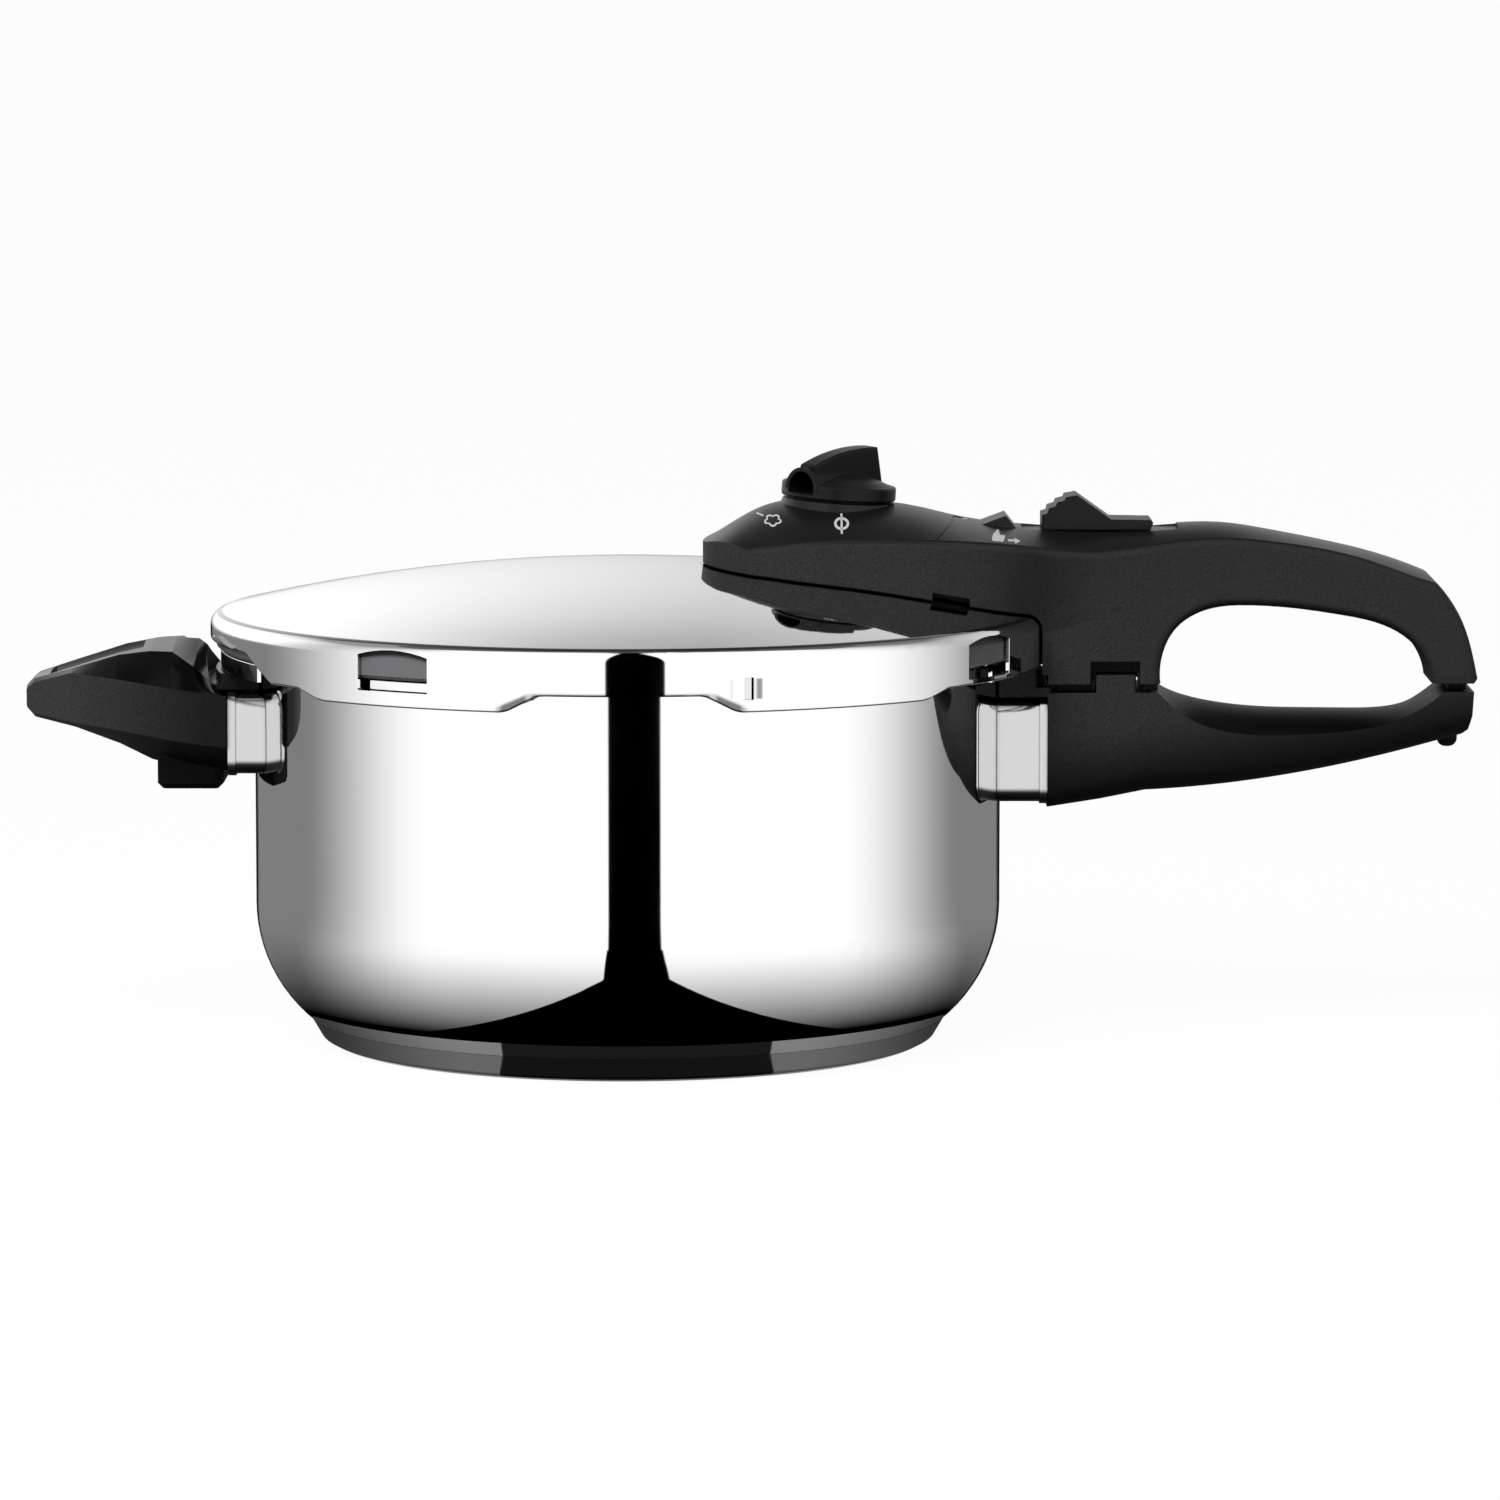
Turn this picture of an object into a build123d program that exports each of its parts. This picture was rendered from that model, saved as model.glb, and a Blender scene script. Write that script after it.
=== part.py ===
from build123d import *
import math
import os

# Driving sizes, in millimetres
pot_radius = 111.0  # outside of the 22 cm body
pot_wall = 1.0
pot_corner = 44.0  # outside radius between wall and floor
rim_z = 117.5  # top of the pot rim
base_height = 7.4
base_inset = 22.4  # foot of the base inside the wall
cap_wall = 0.8
rim_sheet = 1.2
rim_flare = 3.5  # reach of the rim between the bayonet tabs
tab_reach = 10.0  # reach of a bayonet tab beyond the wall
tab_width = 22.0  # degrees
end_tab_width = 56.0  # degrees, of the two tabs beside the handles
lid_wall = 1.2
lid_gap = 1.8  # radial gap between tab and skirt
lid_rise = 14.6  # dome height over the skirt corner
lid_corner = 4.2  # rolled edge between dome and skirt
skirt_drop = 7.2  # skirt lip below the rim top
gap_drop = 2.3  # skirt edge between the front lips, below the rim top
end_gap_drop = 4.3  # skirt edge beside the handles, below the rim top
skirt_round = 0.7  # rounding of the skirt's lower edge
lip_reach = 6.3
lip_width = 30.0  # degrees
window_width = 24.0
window_height = 10.3
window_drop = 2.9  # lower edge of a window, below the rim top
handle_wall = 3.0
knob_radius = 17.0
knob_tilt = 4.0  # degrees the valve leans with the dome
slide_travel = 6.0  # stroke of the lock
seat_gap = 0.5  # clearance of the lid handle over the dome
vent_height = 2.2  # vent slots in the handle's lower edge
seam_depth = 0.5  # seam across the handle's top

base_foot_radius = pot_radius - base_inset
lid_radius = pot_radius + tab_reach + lid_gap + lid_wall
lip_angles = (-60, -120, 60, 120)
lip_z = rim_z - skirt_drop
corner_z = rim_z + 10.3
apex_z = corner_z + lid_rise
dome_radius = (lid_radius**2 + lid_rise**2) / (2 * lid_rise)
dome_centre_z = apex_z - dome_radius
handle_dx = lid_radius - 124.0  # moves the drawn handle outlines with the lid
handle_dz = rim_z - 117.5

valve_x = 61.1 + handle_dx
valve_z = dome_centre_z + math.sqrt(dome_radius**2 - valve_x**2)
valve_place = Pos(valve_x, 0, valve_z) * Rot(0, knob_tilt, 0)
indicator_x = 99.0 + handle_dx
safety_x = 92.0 + handle_dx
safety_y = 19.0
vent_x = 95.5 + handle_dx
slide_start = 123.0 + handle_dx
slide_end = 156.0 + handle_dx
bolt_x = 128.0 + handle_dx
keeper_x = bolt_x + 13.0
key_radius = lid_radius + 21.8  # arc of the key on the pot handle
key_depth = 11.2
key_gap = 0.5  # clearance of the key in its slot
seal_rib = 2.1  # ribs that close the gap between the long handles
screw_x = 130.5 + handle_dx
screw_y = 10.0
pot_screw_x = 133.0 + handle_dx
foot_x = 244.4 + handle_dx
side_screw_x = pot_radius + 16.0


def side(*points):
    """Outline points of the handles, moved with the lid and the rim."""
    return [(x + handle_dx, z + handle_dz) for x, z in points]


def side_slab(wires, half_width):
    face = make_face(wires)
    return extrude(Plane.XZ.offset(-half_width) * face, amount=2 * half_width)


def spin(points):
    face = make_face(Polyline(*points, close=True))
    return revolve(Plane.XZ * face, Axis.Z)


def tube(outer, inner, low, high):
    """Straight tube, or a rod when inner is nothing."""
    body = Pos(0, 0, (low + high) / 2) * Cylinder(outer, high - low)
    if inner:
        body -= Pos(0, 0, (low + high) / 2) * Cylinder(inner, high - low + 2)
    return body


def block(x0, x1, y0, y1, z0, z1):
    return Pos((x0 + x1) / 2, (y0 + y1) / 2, (z0 + z1) / 2) * Box(x1 - x0, y1 - y0, z1 - z0)


def dome_z(x, y=0.0):
    return dome_centre_z + math.sqrt(dome_radius**2 - x * x - y * y)


def pot_shell():
    centre_r = pot_radius - pot_corner
    centre_z = base_height + 34.0
    floor_r = centre_r + math.sqrt(pot_corner**2 - 34.0**2)
    inner_r = pot_corner - pot_wall
    inner_floor = centre_r + math.sqrt(inner_r**2 - (34.0 - pot_wall) ** 2)

    def middle(radius, end_r, end_z):
        angle = math.atan2(end_z - centre_z, end_r - centre_r) / 2
        return centre_r + radius * math.cos(angle), centre_z + radius * math.sin(angle)

    outer_arc = ThreePointArc(
        (floor_r, base_height),
        middle(pot_corner, floor_r, base_height),
        (pot_radius, centre_z),
    )
    inner_arc = ThreePointArc(
        (pot_radius - pot_wall, centre_z),
        middle(inner_r, inner_floor, base_height + pot_wall),
        (inner_floor, base_height + pot_wall),
    )
    neck_z = rim_z - rim_sheet
    outline = [
        Line((0, base_height), (floor_r, base_height)),
        outer_arc,
        Polyline(
            (pot_radius, centre_z),
            (pot_radius, neck_z),
            (pot_radius + rim_flare, neck_z),
            (pot_radius + rim_flare, rim_z),
            (pot_radius - pot_wall, rim_z),
            (pot_radius - pot_wall, centre_z),
        ),
        inner_arc,
        Polyline(
            (inner_floor, base_height + pot_wall),
            (0, base_height + pot_wall),
            (0, base_height),
        ),
    ]
    shell = revolve(Plane.XZ * make_face(outline), Axis.Z)
    tab_r = pot_radius + tab_reach
    low = lip_z + rim_sheet + 0.8
    section = make_face(
        Polyline(
            (pot_radius + 0.5, rim_z),
            (pot_radius + 0.5, neck_z),
            (tab_r - rim_sheet, neck_z),
            (tab_r - rim_sheet, low),
            (tab_r, low),
            (tab_r, rim_z),
            close=True,
        )
    )
    section = fillet(section.vertices().sort_by(Axis.X)[-1:], 0.4)
    for angle in lip_angles + (0, 180):
        width = tab_width if angle in lip_angles else end_tab_width
        shell += Rot(0, 0, angle - width / 2) * revolve(Plane.XZ * section, Axis.Z, width)
    return shell


def base_core():
    return spin(
        [
            (0, cap_wall + 0.05),
            (base_foot_radius - 0.4, cap_wall + 0.05),
            (base_foot_radius + 4.6, base_height),
            (0, base_height),
        ]
    )


def base_cap():
    foot = base_foot_radius
    outer = make_face(
        Polyline(
            (0, 0), (foot, 0), (foot + 3.0, 1.6), (foot + 6.4, base_height), (0, base_height), close=True
        )
    )
    outer = fillet(outer.vertices().sort_by(Axis.Y)[1:3].sort_by(Axis.X)[-1:], 1.5)
    inner = spin(
        [
            (0, cap_wall),
            (foot - 0.3, cap_wall),
            (foot + 5.4, base_height + 1),
            (0, base_height + 1),
        ]
    )
    return revolve(Plane.XZ * outer, Axis.Z) - inner


def lid_solid(inset):
    """Dome and skirt as a full body, drawn in by the inset."""
    radius = lid_radius - inset
    ball = dome_radius - inset
    edge_z = dome_centre_z + math.sqrt(ball**2 - radius**2)
    half = radius / 2
    face = make_face(
        [
            Polyline((0, apex_z - inset), (0, lip_z), (radius, lip_z), (radius, edge_z)),
            ThreePointArc(
                (radius, edge_z),
                (half, dome_centre_z + math.sqrt(ball**2 - half**2)),
                (0, apex_z - inset),
            ),
        ]
    )
    corner = [v for v in face.vertices() if abs(v.X - radius) < 0.01 and v.Y > lip_z + 1]
    face = fillet(corner, lid_corner - inset)
    return revolve(Plane.XZ * face, Axis.Z)


def radial_cut(angle, wires, near, far):
    """Prism through the skirt, drawn as seen from outside at an angle round the axis."""
    plane = Plane(
        origin=(0, 0, 0),
        x_dir=(-math.sin(math.radians(angle)), math.cos(math.radians(angle)), 0),
        z_dir=(math.cos(math.radians(angle)), math.sin(math.radians(angle)), 0),
    )
    face = make_face(wires)
    return extrude(plane.offset(near) * face, amount=far - near)


def notch_cut(angle, half_angle, top_z, lean):
    """Gap in the skirt lip whose ends lean and run smoothly into the edges."""
    half = lid_radius * math.sin(math.radians(half_angle))
    run = (top_z - lip_z) * lean
    outline = FilletPolyline(
        (-half - 6, lip_z),
        (-half, lip_z),
        (-half + run, top_z),
        (half - run, top_z),
        (half, lip_z),
        (half + 6, lip_z),
        radius=8.0,
    )
    below = Polyline(
        (half + 6, lip_z),
        (half + 6, lip_z - 4),
        (-half - 6, lip_z - 4),
        (-half - 6, lip_z),
    )
    return radial_cut(angle, [outline, below], 60, lid_radius + 5)


def skirt_edges(body):
    """Outer edges along the foot of the skirt, without the window sills and the nub."""
    found = []
    for edge in body.edges():
        points = [edge @ share for share in (0, 0.5, 1)]
        outside = all(abs(math.hypot(p.X, p.Y) - lid_radius) < 0.02 for p in points)
        box = edge.bounding_box()
        level = box.size.Z < 0.02
        sill = level and abs(box.max.Z - rim_z + window_drop) < 0.05
        if outside and box.max.Z < rim_z + 3.5 and box.min.Z < rim_z - 1 and not sill:
            found.append(edge)
    return found


def lid_shell():
    shell = lid_solid(0) - Pos(0, 0, -0.01) * lid_solid(lid_wall)
    ring = tube(lid_radius, lid_radius - lid_wall - lip_reach, lip_z, lip_z + lid_wall)
    shell += ring
    gap_half = 30 - lip_width / 2
    for angle in (-90, 90):
        shell -= notch_cut(angle, gap_half + 0.4, rim_z - gap_drop, 1.9)
    for angle in (0, 180):
        shell -= notch_cut(angle, 60 - lip_width / 2, rim_z - end_gap_drop, 2.4)
    shell -= notch_cut(180, 37, rim_z + 3.2, 1.75)
    half = window_width / 2
    low = rim_z - window_drop
    high = low + window_height
    arch = [
        Polyline((-half, high), (-half, low), (half, low), (half, high)),
        ThreePointArc((half, high), (0, high + 1.7), (-half, high)),
    ]
    for angle in (-122, -31, 31, 122):
        shell -= radial_cut(angle, arch, lid_radius - 12, lid_radius + 4)
    nub_plane = Rot(0, 0, -73.1) * Pos(lid_radius - lid_wall - 0.2, 0, rim_z - 0.6)
    nub = nub_plane * Cylinder(3.1, 7.6)
    nub &= tube(lid_radius - lid_wall + 0.3, 0, rim_z - 8, rim_z - 0.1)
    nub -= tube(lid_radius - lid_wall - 2.4, 0, rim_z - 9, rim_z + 9)
    shell += nub
    shell = fillet(skirt_edges(shell), skirt_round)
    shell -= Rot(0, 0, -73.1) * Pos(lid_radius + 3.6, 0, rim_z - 0.4) * Cylinder(4.1, 6.4)
    shell -= valve_place * tube(7.4, 0, -8, 8)
    shell -= Pos(indicator_x, 0, 0) * tube(3.2, 0, rim_z, apex_z + 5)
    shell -= Pos(safety_x, safety_y, 0) * tube(5.5, 0, rim_z, apex_z + 5)
    return shell


def gasket():
    out = lid_radius - lid_wall - 0.6
    low = rim_z + 0.35
    return spin(
        [
            (out - 11, low),
            (out - 1.0, low),
            (out, low + 1.0),
            (out, low + 6.0),
            (out - 3.0, low + 9.6),
            (out - 11, low + 9.6),
            (out - 11, low + 7.4),
            (out - 4.2, low + 7.4),
            (out - 3.2, low + 6.2),
            (out - 3.2, low + 3.2),
            (out - 4.2, low + 2.0),
            (out - 11, low + 2.0),
        ]
    )


def handle_section(x, neck, soft_z, crease, crease_z, ridge_z):
    """Cross-section of the lid handle: straight neck, leaning cheek and arched top."""
    low = 95.0 + handle_dz
    soft_z += handle_dz
    crease_z += handle_dz
    ridge_z += handle_dz
    outline = [
        Polyline(
            (-crease, crease_z),
            (-neck, soft_z),
            (-neck, low),
            (neck, low),
            (neck, soft_z),
            (crease, crease_z),
        ),
        ThreePointArc((crease, crease_z), (0, ridge_z), (-crease, crease_z)),
    ]
    return Plane.YZ.offset(x + handle_dx) * make_face(outline)


# Stations along the handle: x, neck half width, neck top z, crease half width, crease z, ridge z
handle_stations = [
    (18, 26.5, 130, 26.5, 147.6, 148.0),
    (28, 27.0, 130, 27.0, 147.6, 152.0),
    (38, 28.0, 130, 28.0, 148.2, 158.0),
    (50, 32.6, 130, 32.6, 150.0, 161.0),
    (66, 34.0, 130, 34.0, 151.2, 160.8),
    (84, 35.0, 130, 35.2, 151.3, 159.2),
    (100, 33.5, 128, 35.2, 151.0, 155.4),
    (112, 29.0, 125.5, 33.0, 150.0, 153.8),
    (124, 20.2, 123.4, 26.6, 148.0, 153.2),
    (138, 19.4, 126.8, 21.8, 146.4, 153.0),
    (154, 18.6, 131.0, 19.6, 148.2, 153.4),
    (176, 17.5, 138.0, 17.8, 150.4, 154.2),
    (192, 17.1, 140.0, 17.3, 149.3, 151.8),
    (208, 16.9, 138.0, 17.0, 146.9, 148.6),
    (222, 16.7, 134.0, 16.8, 143.0, 145.2),
    (236, 16.5, 129.0, 16.6, 138.0, 140.3),
    (258, 16.3, 121.0, 16.4, 130.0, 132.0),
]


def handle_plan(inset):
    """Plan of the lid handle: a round nose, open to the width of the sections, and a round end."""
    nose = 22.4 + handle_dx + inset
    corner_x = 37.5 + handle_dx
    half = 28.0 - inset
    end = 253.4 + handle_dx
    face = make_face(
        [
            ThreePointArc((corner_x, -half), (nose, 0), (corner_x, half)),
            Polyline(
                (corner_x, half),
                (corner_x + 1, 60),
                (end, 60),
                (end, -60),
                (corner_x + 1, -60),
                (corner_x, -half),
            ),
        ]
    )
    return extrude(Plane.XY.offset(90 + handle_dz) * face, amount=100)


def lid_handle_body():
    sections = [handle_section(*row) for row in handle_stations]
    return loft(sections) & handle_plan(0)


def lid_handle_side():
    """Side outline: seat on the lid, finger hole and rounded end."""
    start = side((12, 124), (118, 120), (121, 118), (121, 110.4), (124.6, 110.4), (124.6, 107.6))
    start += side((158.0, 107.6))
    hole = side((158.0, 107.6), (158.6, 116.4), (162.3, 123.7), (171.1, 129.3), (184.4, 130.7))
    hole += side((197.8, 129.8), (211.0, 127.9), (224.4, 124.6), (231.5, 120.4), (236.2, 114.6))
    hole += side((238.4, 107.6))
    end = side((238.4, 107.6), (250.8, 107.6), (252.0, 109))
    back = side((252.0, 109), (247.8, 124.9), (236.8, 140.2))
    top = side((236.8, 140.2), (226, 152), (226, 190), (12, 190), (12, 124))
    return [
        Polyline(*start),
        Spline(*hole),
        Polyline(*end),
        Spline(*back, tangents=[(-0.2, 1), (-0.7, 0.62)]),
        Polyline(*top),
    ]


def edges_in(body, x0, x1, z0, z1, least_y):
    """Edges whole within a side-view window and clear of the middle plane."""
    found = []
    for edge in body.edges():
        box = edge.bounding_box()
        inside = box.min.X > x0 and box.max.X < x1 and box.min.Z > z0 and box.max.Z < z1
        if inside and abs(edge.center().Y) > least_y:
            found.append(edge)
    return found


def shifted(x0, x1, z0, z1):
    return x0 + handle_dx, x1 + handle_dx, z0 + handle_dz, z1 + handle_dz


def rib(x0, x1, y, half_width):
    """Rib under the lid handle, short of the pot handle's top."""
    low = rim_z - 9.9 - seal_rib
    return block(x0 + handle_dx, x1 + handle_dx, y - half_width, y + half_width, low, rim_z - 9.0)


def lid_handle():
    body = lid_handle_body() & side_slab(lid_handle_side(), 70)
    body = fillet(edges_in(body, *shifted(157, 242, 107, 132.5), 14), 2.8)
    rounded = edges_in(body, *shifted(240, 253.5, 108.9, 137.2), 14)
    creases = edges_in(body, *shifted(36, 241, 136, 152), 10)
    rounded += [e for e in creases if e.bounding_box().size.X > 150]
    rounded += [e for e in edges_in(body, *shifted(236, 241, 136, 141), -1) if abs(e.center().Y) < 1]
    body = fillet(rounded, 2.2)
    wedge = side((102, 149), (104.5, 154), (112.3, 156.9), (115.3, 153.2), (116, 149))
    body += side_slab([Polyline(*wedge, close=True)], 9)
    body += valve_place * Pos(0, 0, 17.7) * Cone(20, 16.4, 8.6)
    body -= lid_solid(-seat_gap)
    inner = inner_body(handle_wall, 8) & handle_plan(handle_wall)
    body -= inner & block(20 + handle_dx, 117 + handle_dx, -60, 60, 100, 200)
    body -= valve_place * tube(13.5, 0, 5, 30)
    body -= Pos(indicator_x, 0, 0) * tube(2.58, 0, rim_z, rim_z + 60)
    deck = rim_z + 34.8
    body -= block(slide_start - 6, slide_end + slide_travel + 1.5, -9.3, 9.3, deck, deck + 20)
    body -= block(bolt_x - 0.6, bolt_x + 3.2 + slide_travel, -3.4, 3.4, rim_z - 20, deck + 2)
    body -= block(bolt_x - 1.6, bolt_x + 6 + slide_travel, -3.4, 3.4, rim_z - 20, rim_z - 8.5)
    key_outer = key_radius + key_depth / 2
    key_inner = key_radius - key_depth / 2
    mouth = tube(key_outer + 1.6, key_inner - 1.7, rim_z - 20, rim_z - 3.1)
    body -= mouth - block(100, 200, -14, 14, 0, 200)
    body -= tube(key_outer + key_gap, key_inner - key_gap, rim_z - 20, rim_z - 6.7)
    for y in (-14.9, 14.9):
        body += rib(127.5, 138.6, y, 0.7)
        body += rib(152.8, 157.2, y, 0.7)
    body += rib(243.5, 248.8, 0, 12.5)
    vents = block(vent_x - 5.5, vent_x + 5.5, -60, 60, rim_z, rim_z + 40)
    body -= lid_solid(-seat_gap - vent_height) & vents
    seam = Pos(vent_x - 1, 0, rim_z + 36.8) * Rot(0, 52, 0) * Box(0.5, 120, 60)
    seam &= block(vent_x - 30, vent_x + 30, -60, 60, rim_z + 33.2, 200)
    body -= seam - inner_body(seam_depth, 8)
    plate = tube(lid_radius + 1.7, 0, rim_z + 1.0, rim_z + 9.6)
    body -= plate & block(lid_radius - 20, lid_radius + 20, -15.6, 15.6, rim_z, rim_z + 20)
    for y in (-screw_y, screw_y):
        body -= block(lid_radius - 4, screw_x + 5.2, y - 3.9, y + 3.9, rim_z + 1.4, rim_z + 8.2)
        body -= Pos(screw_x, y, 0) * tube(2.2, 0, rim_z - 20, rim_z + 8)
        body -= Pos(screw_x, y, 0) * tube(3.8, 0, rim_z - 20, rim_z - 6.2)
    return body


def inner_body(wall, count):
    """Front of the handle drawn in by a wall thickness."""
    drop = 0.73 * wall
    sections = []
    for x, neck, soft_z, crease, crease_z, ridge_z in handle_stations[:count]:
        row = (x, neck - wall, soft_z, crease - wall, crease_z - drop, ridge_z - wall)
        sections.append(handle_section(*row))
    return loft(sections)


def lid_handle_plate():
    """Closing plate that follows the dome under the hollow handle."""
    inner = inner_body(handle_wall, 8) & handle_plan(handle_wall + 0.4)
    plate = lid_solid(-seat_gap - 2.2) - lid_solid(-seat_gap - 0.1)
    plate &= inner & block(20 + handle_dx, 113 + handle_dx, -60, 60, rim_z + 5, 200)
    plate &= extrude(Plane.XY * Rectangle(600, 57), amount=300)
    plate -= valve_place * tube(7.5, 0, -8, 12)
    plate -= Pos(indicator_x, 0, 0) * tube(3.4, 0, rim_z, apex_z + 8)
    plate -= Pos(safety_x, safety_y, 0) * tube(9.0, 0, rim_z, apex_z + 8)
    return plate


def lid_bracket():
    plate = tube(lid_radius + 1.35, lid_radius + 0.05, rim_z + 1.3, rim_z + 9.3)
    body = plate & block(lid_radius - 20, lid_radius + 20, -15.2, 15.2, rim_z, rim_z + 20)
    for y in (-screw_y, screw_y):
        prong = block(lid_radius - 3, screw_x + 5.0, y - 3.6, y + 3.6, rim_z + 1.7, rim_z + 7.9)
        prong -= tube(lid_radius + 0.6, 0, rim_z, rim_z + 20)
        body += prong
        body -= Pos(screw_x, y, 0) * tube(2.05, 0, rim_z - 5, rim_z + 20)
    return body


def screw(head_z, tip_z, x, y, shank=2.0, head=3.5):
    """Pan-head screw pointing up, with a cross recess in the head."""
    body = tube(shank, 0, head_z + 2.4, tip_z)
    body += tube(head, 0, head_z, head_z + 2.4)
    body -= block(-head * 0.6, head * 0.6, -0.5, 0.5, head_z - 1, head_z + 1.2)
    body -= block(-0.5, 0.5, -head * 0.6, head * 0.6, head_z - 1, head_z + 1.2)
    return Pos(x, y, 0) * body


def valve_body():
    body = tube(7.0, 2.0, -9, 3.2)
    collar = extrude(Plane.XY.offset(3.2) * RegularPolygon(10.5, 6), amount=3.2)
    body += collar - tube(2.0, 0, 0, 10)
    body += tube(5.5, 2.0, 6.4, 17)
    body -= tube(3.7, 0, 12, 18)
    return valve_place * body


def valve_nut():
    nut = extrude(Plane.XY.offset(-7.6) * RegularPolygon(12.7, 6), amount=4.2)
    return valve_place * (nut - tube(7.1, 0, -10, 0))


def valve_seal():
    return valve_place * tube(11.5, 7.2, -3.4, -1.95)


def valve_plunger():
    body = tube(3.3, 0, 13.2, 17.4)
    body += Pos(0, 0, 12.7) * Cone(1.6, 3.3, 1.0)
    body += tube(4.8, 0, 17.4, 18.4)
    body += tube(2.4, 0, 18.4, 22.4)
    return valve_place * body


def coil(radius, wire, low, high, turns):
    """Helical wire with squared start and end."""
    path = Helix(pitch=(high - low) / turns, height=high - low, radius=radius)
    start = Plane(origin=path @ 0, z_dir=path % 0)
    ring = sweep(start * Circle(wire), path=path, is_frenet=True)
    return Pos(0, 0, low) * ring


def valve_spring():
    return valve_place * coil(3.6, 0.45, 18.95, 23.6, 4)


def valve_knob():
    pointing = Rot(0, 0, 225)
    body = tube(13.1, 0, 16.0, 23.4) + tube(8.0, 0, 8.5, 16.5)
    disc = fillet(tube(knob_radius, 0, 22.7, 27.0).edges(), 0.7)
    body += disc
    cap_ball = (knob_radius - 1.0) ** 2 / (2 * 3.6) + 1.8
    cap = Pos(0, 0, 30.4 - cap_ball) * Sphere(cap_ball)
    body += cap & tube(knob_radius - 1.0, 0, 26.5, 40)
    hood = Pos(8.0, 0, 25.2) * Rot(0, 90, 0) * Cylinder(6.6, 16.2)
    body += pointing * (hood & tube(30, 0, 25.2, 40))
    fin = make_face(
        [
            Polyline((13.6, 32.6), (13.6, 25), (-15.5, 25), (-15.3, 27.4), (-12.3, 38.0)),
            ThreePointArc((-12.3, 38.0), (1.0, 36.7), (13.6, 32.6)),
        ]
    )
    blade = extrude(Plane.XZ.offset(-3.3) * fin, amount=6.6)
    upper = blade.edges().filter_by(Axis.Y, reverse=True).filter_by(lambda e: e.center().Z > 29)
    blade = fillet(upper, 0.8)
    body += pointing * blade
    body -= tube(5.58, 0, 8, 18.5)
    body -= tube(6.2, 0, 17.2, 24.6)
    mouth = Pos(9.5, 0, 25.4) * Rot(0, 90, 0) * Cylinder(5.2, 16)
    body -= pointing * (mouth & tube(30, 0, 24.0, 40))
    return valve_place * body


def lock_slide():
    grip = side((123, 152.6), (123, 157.0), (124.6, 157.5), (124.9, 158.9), (127.0, 159.6), (127.4, 160.7))
    peak = side((129.6, 161.3), (130.0, 162.3), (133.4, 162.9))
    tail = side((143.5, 155.7), (155.4, 155.5), (156, 154.7), (155.2, 152.6))
    outline = grip + peak + tail
    body = side_slab([Polyline(*outline, close=True)], 8.8)
    rim = [e for e in body.edges() if abs(abs(e.center().Y) - 8.8) < 0.01 and e.center().Z > rim_z + 37]
    body = chamfer(rim, 0.5)
    return body - block(bolt_x - 0.1, bolt_x + 3.1, -2.6, 2.6, rim_z + 30, rim_z + 39)


def lock_bolt():
    leg = block(bolt_x, bolt_x + 3.0, -2.5, 2.5, rim_z - 10.4, rim_z + 38.9)
    bar = block(bolt_x, bolt_x + 9.0, -2.9, 2.9, rim_z - 10.6, rim_z - 9.0)
    return leg + bar


def pressure_indicator():
    top = rim_z + 37.8
    body = tube(2.5, 0, rim_z + 7.2, top)
    body = fillet(body.edges().sort_by(Axis.Z)[-1:], 0.8)
    body += tube(4.5, 0, rim_z + 6.0, rim_z + 8.0)
    return Pos(indicator_x, 0, 0) * body


def indicator_seal():
    return Pos(indicator_x, 0, 0) * tube(4.4, 2.52, rim_z + 8.0, rim_z + 8.9)


def safety_place():
    return Pos(safety_x, safety_y, dome_z(safety_x, safety_y))


def safety_body():
    body = tube(5.0, 1.7, -8.0, 4.4)
    body += tube(8.4, 1.7, 3.6, 6.6)
    body += tube(4.4, 3.4, 6.6, 13.0)
    body += tube(4.4, 1.7, 13.0, 14.0)
    return safety_place() * body


def safety_nut():
    nut = extrude(Plane.XY.offset(-7.2) * RegularPolygon(8.6, 6), amount=3.6)
    return safety_place() * (nut - tube(5.06, 0, -9, 0))


def safety_stem():
    body = tube(1.62, 0, -7.5, 15.0)
    body += tube(3.05, 0, 6.9, 7.9)
    return safety_place() * body


def safety_spring():
    return safety_place() * coil(2.45, 0.35, 8.3, 12.6, 4)


def pot_handle_plan():
    half_front = 19.8
    half_end = 16.3
    x0 = lid_radius + 0.6
    x1 = 252 + handle_dx
    near = [(x0, -half_front), (x0 + 29, -18.6), (x0 + 60, -17.2), (x1, -half_end)]
    far = [(x, -y) for x, y in reversed(near)]
    face = make_face([Spline(*near), Line(near[-1], far[0]), Spline(*far), Line(far[-1], near[0])])
    return extrude(Plane.XY.offset(50 + handle_dz) * face, amount=90)


def scoop_section(x, ridge_z, edge_z):
    """Space above the arched grip of the pot handle, the arch falling to its edges."""
    half = 17.0
    reach = 21.0
    rise = ridge_z - edge_z
    ball = (half**2 + rise**2) / (2 * rise)
    far_z = ridge_z - ball + math.sqrt(ball**2 - reach**2)
    outline = [
        Polyline((-reach, far_z), (-reach, 125.0), (reach, 125.0), (reach, far_z)),
        ThreePointArc((reach, far_z), (0, ridge_z), (-reach, far_z)),
    ]
    return Plane.YZ.offset(x + handle_dx) * Pos(0, handle_dz) * make_face(outline)


# Stations along the grip: x, height in the middle, height at the edges
scoop_stations = [
    (153, 110.0, 109.5),
    (160, 104.6, 102.6),
    (172, 101.0, 95.4),
    (196, 98.8, 92.0),
    (214, 98.6, 92.8),
    (230, 99.6, 97.0),
    (240, 103.8, 103.2),
    (246, 109.0, 108.6),
]


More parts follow.
